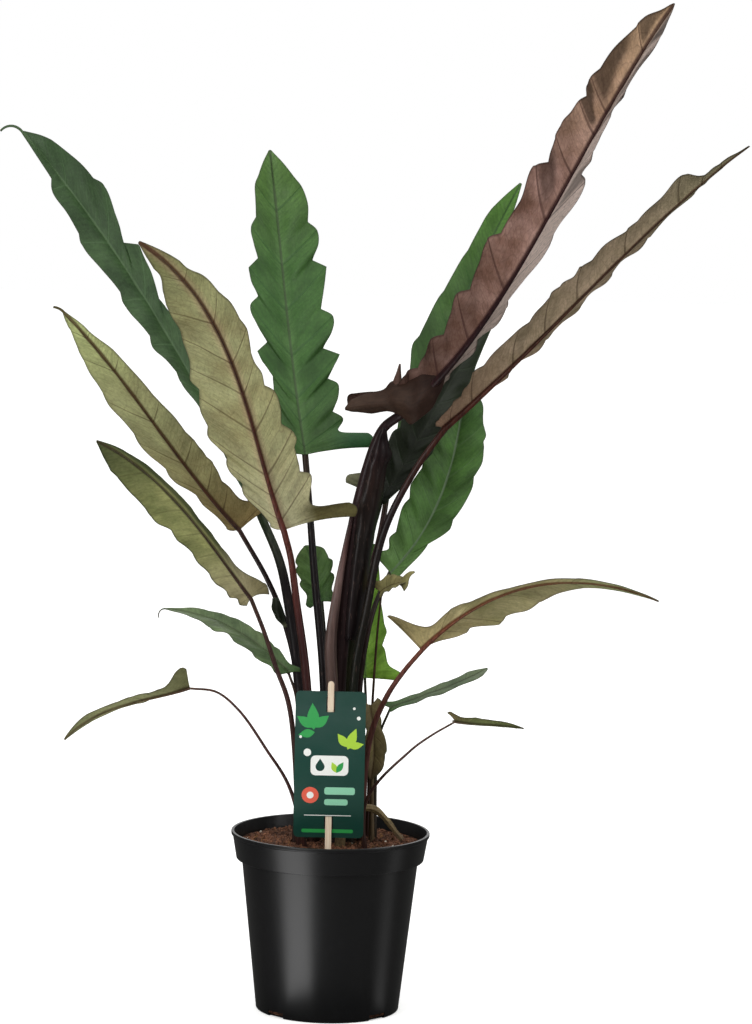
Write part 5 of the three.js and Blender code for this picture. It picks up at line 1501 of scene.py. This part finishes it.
# What the glossy pot sees in the floor: (from azimuth, to azimuth, brightness), left of the front negative
floorCards = ((-72, -20, 3.8), (-20, 70, 0.14), (80, 97, 0.9), (165, 180, 0.5), (-180, -165, 0.5))


def floorMaterial():
    # Plain and pale to the eye; darker to everything else, with bright cards that shape the reflections
    material, tree, shader, place = newMaterial("pale_floor")
    seen = addNode(tree, "ShaderNodeLightPath").outputs["Is Camera Ray"]
    tone = addNode(tree, "ShaderNodeMix", {
        0: seen, 6: colour(photo["hiddenFloor"]), 7: colour(photo["floor"])}, data_type="RGBA")
    place = addNode(tree, "ShaderNodeVectorMath", {0: place, 1: photo["cardApex"]}, operation="SUBTRACT")
    sides = addNode(tree, "ShaderNodeSeparateXYZ", {0: place}).outputs
    forward = addNode(tree, "ShaderNodeMath", {0: sides["Y"], 1: -1.0}, operation="MULTIPLY")
    turn = addNode(tree, "ShaderNodeMath", {0: sides["X"], 1: forward}, operation="ARCTAN2")
    total = 0.0
    for low, high, brightness in floorCards:
        middle, half = math.radians((low + high) / 2), math.radians((high - low) / 2)
        apart = addNode(tree, "ShaderNodeMath", {0: turn, 1: middle}, operation="SUBTRACT")
        apart = addNode(tree, "ShaderNodeMath", {0: apart}, operation="ABSOLUTE")
        shine = addNode(tree, "ShaderNodeMapRange", {
            0: apart, 1: half * 0.62, 2: half, 3: brightness, 4: 0.0}, interpolation_type="SMOOTHSTEP")
        total = addNode(tree, "ShaderNodeMath", {0: shine, 1: total}, operation="ADD")
    # the cards lie in a ring around the pot
    reach = addNode(tree, "ShaderNodeVectorMath", {0: place}, operation="LENGTH")
    near = addNode(tree, "ShaderNodeMapRange", {0: reach, 1: 0.35, 2: 0.6, 3: 1.0, 4: 0.0})
    beyond = addNode(tree, "ShaderNodeMapRange", {0: reach, 1: 0.065, 2: 0.085})
    ring = addNode(tree, "ShaderNodeMath", {0: near, 1: beyond}, operation="MULTIPLY")
    hidden = addNode(tree, "ShaderNodeMath", {0: total, 1: ring}, operation="MULTIPLY")
    glow = addNode(tree, "ShaderNodeMapRange", {0: seen, 3: hidden, 4: photo["glow"]})
    setInputs(tree, shader, {"Base Color": tone, "Roughness": 0.7, "Emission Color": colour("#ffffff"),
                             "Emission Strength": glow})
    return material


def makeStage():
    # Pale floor, a light for each softbox, and a white room that the camera sees past it
    count, level = photo["floorSides"], photo["floorLevel"]
    points = [(0, 0, level), *ringPoints(photo["floorRadius"] / mm, count, level)]
    faces = [(0, 1 + i, 1 + (i + 1) % count) for i in range(count)]
    meshPiece("pale_floor", points, faces, [floorMaterial()], smooth=False)
    for name, (place, size, power) in studioLights.items():
        lamp = bpy.data.lights.new(name, "AREA")
        lamp.shape = "RECTANGLE"
        lamp.size, lamp.size_y, lamp.energy = *size, power
        light = newObject(name, lamp)
        light.location = place
        light.visible_camera = False
        light.rotation_euler = (Vector(photo["aim"]) - Vector(place)).to_track_quat("-Z", "Y").to_euler()
    sun = bpy.data.lights.new("overhead", "SUN")
    sun.energy, sun.angle = photo["sun"], math.radians(photo["sunSpread"])
    newObject("overhead", sun).rotation_euler = (math.radians(photo["sunTilt"]), 0, 0)
    world = bpy.data.worlds.new("studio")
    world.use_nodes = True
    tree = world.node_tree
    tree.nodes.clear()
    ray = addNode(tree, "ShaderNodeLightPath").outputs["Is Camera Ray"]
    strength = addNode(tree, "ShaderNodeMapRange", {0: ray, 3: photo["world"], 4: 1.0})
    shade = addNode(tree, "ShaderNodeBackground", {"Color": colour("#ffffff"), "Strength": strength})
    addNode(tree, "ShaderNodeOutputWorld", {"Surface": shade})
    bpy.context.scene.world = world


def makeCamera():
    lens = bpy.data.cameras.new("photo_view")
    lens.lens, lens.sensor_width, lens.sensor_fit = photo["lens"], photo["sensor"], "AUTO"
    lens.clip_start, lens.clip_end = photo["clip"]
    camera = newObject("photo_view", lens)
    tilt = Matrix.Rotation(math.radians(90 - photo["pitch"]), 4, "X")
    roll = Matrix.Rotation(math.radians(photo["roll"]), 4, "Z")
    camera.matrix_world = Matrix.Translation(photo["camera"]) @ tilt @ roll
    bpy.context.scene.camera = camera


makeStage()
makeCamera()
bpy.context.scene.view_settings.view_transform = "Standard"
print("stage done")
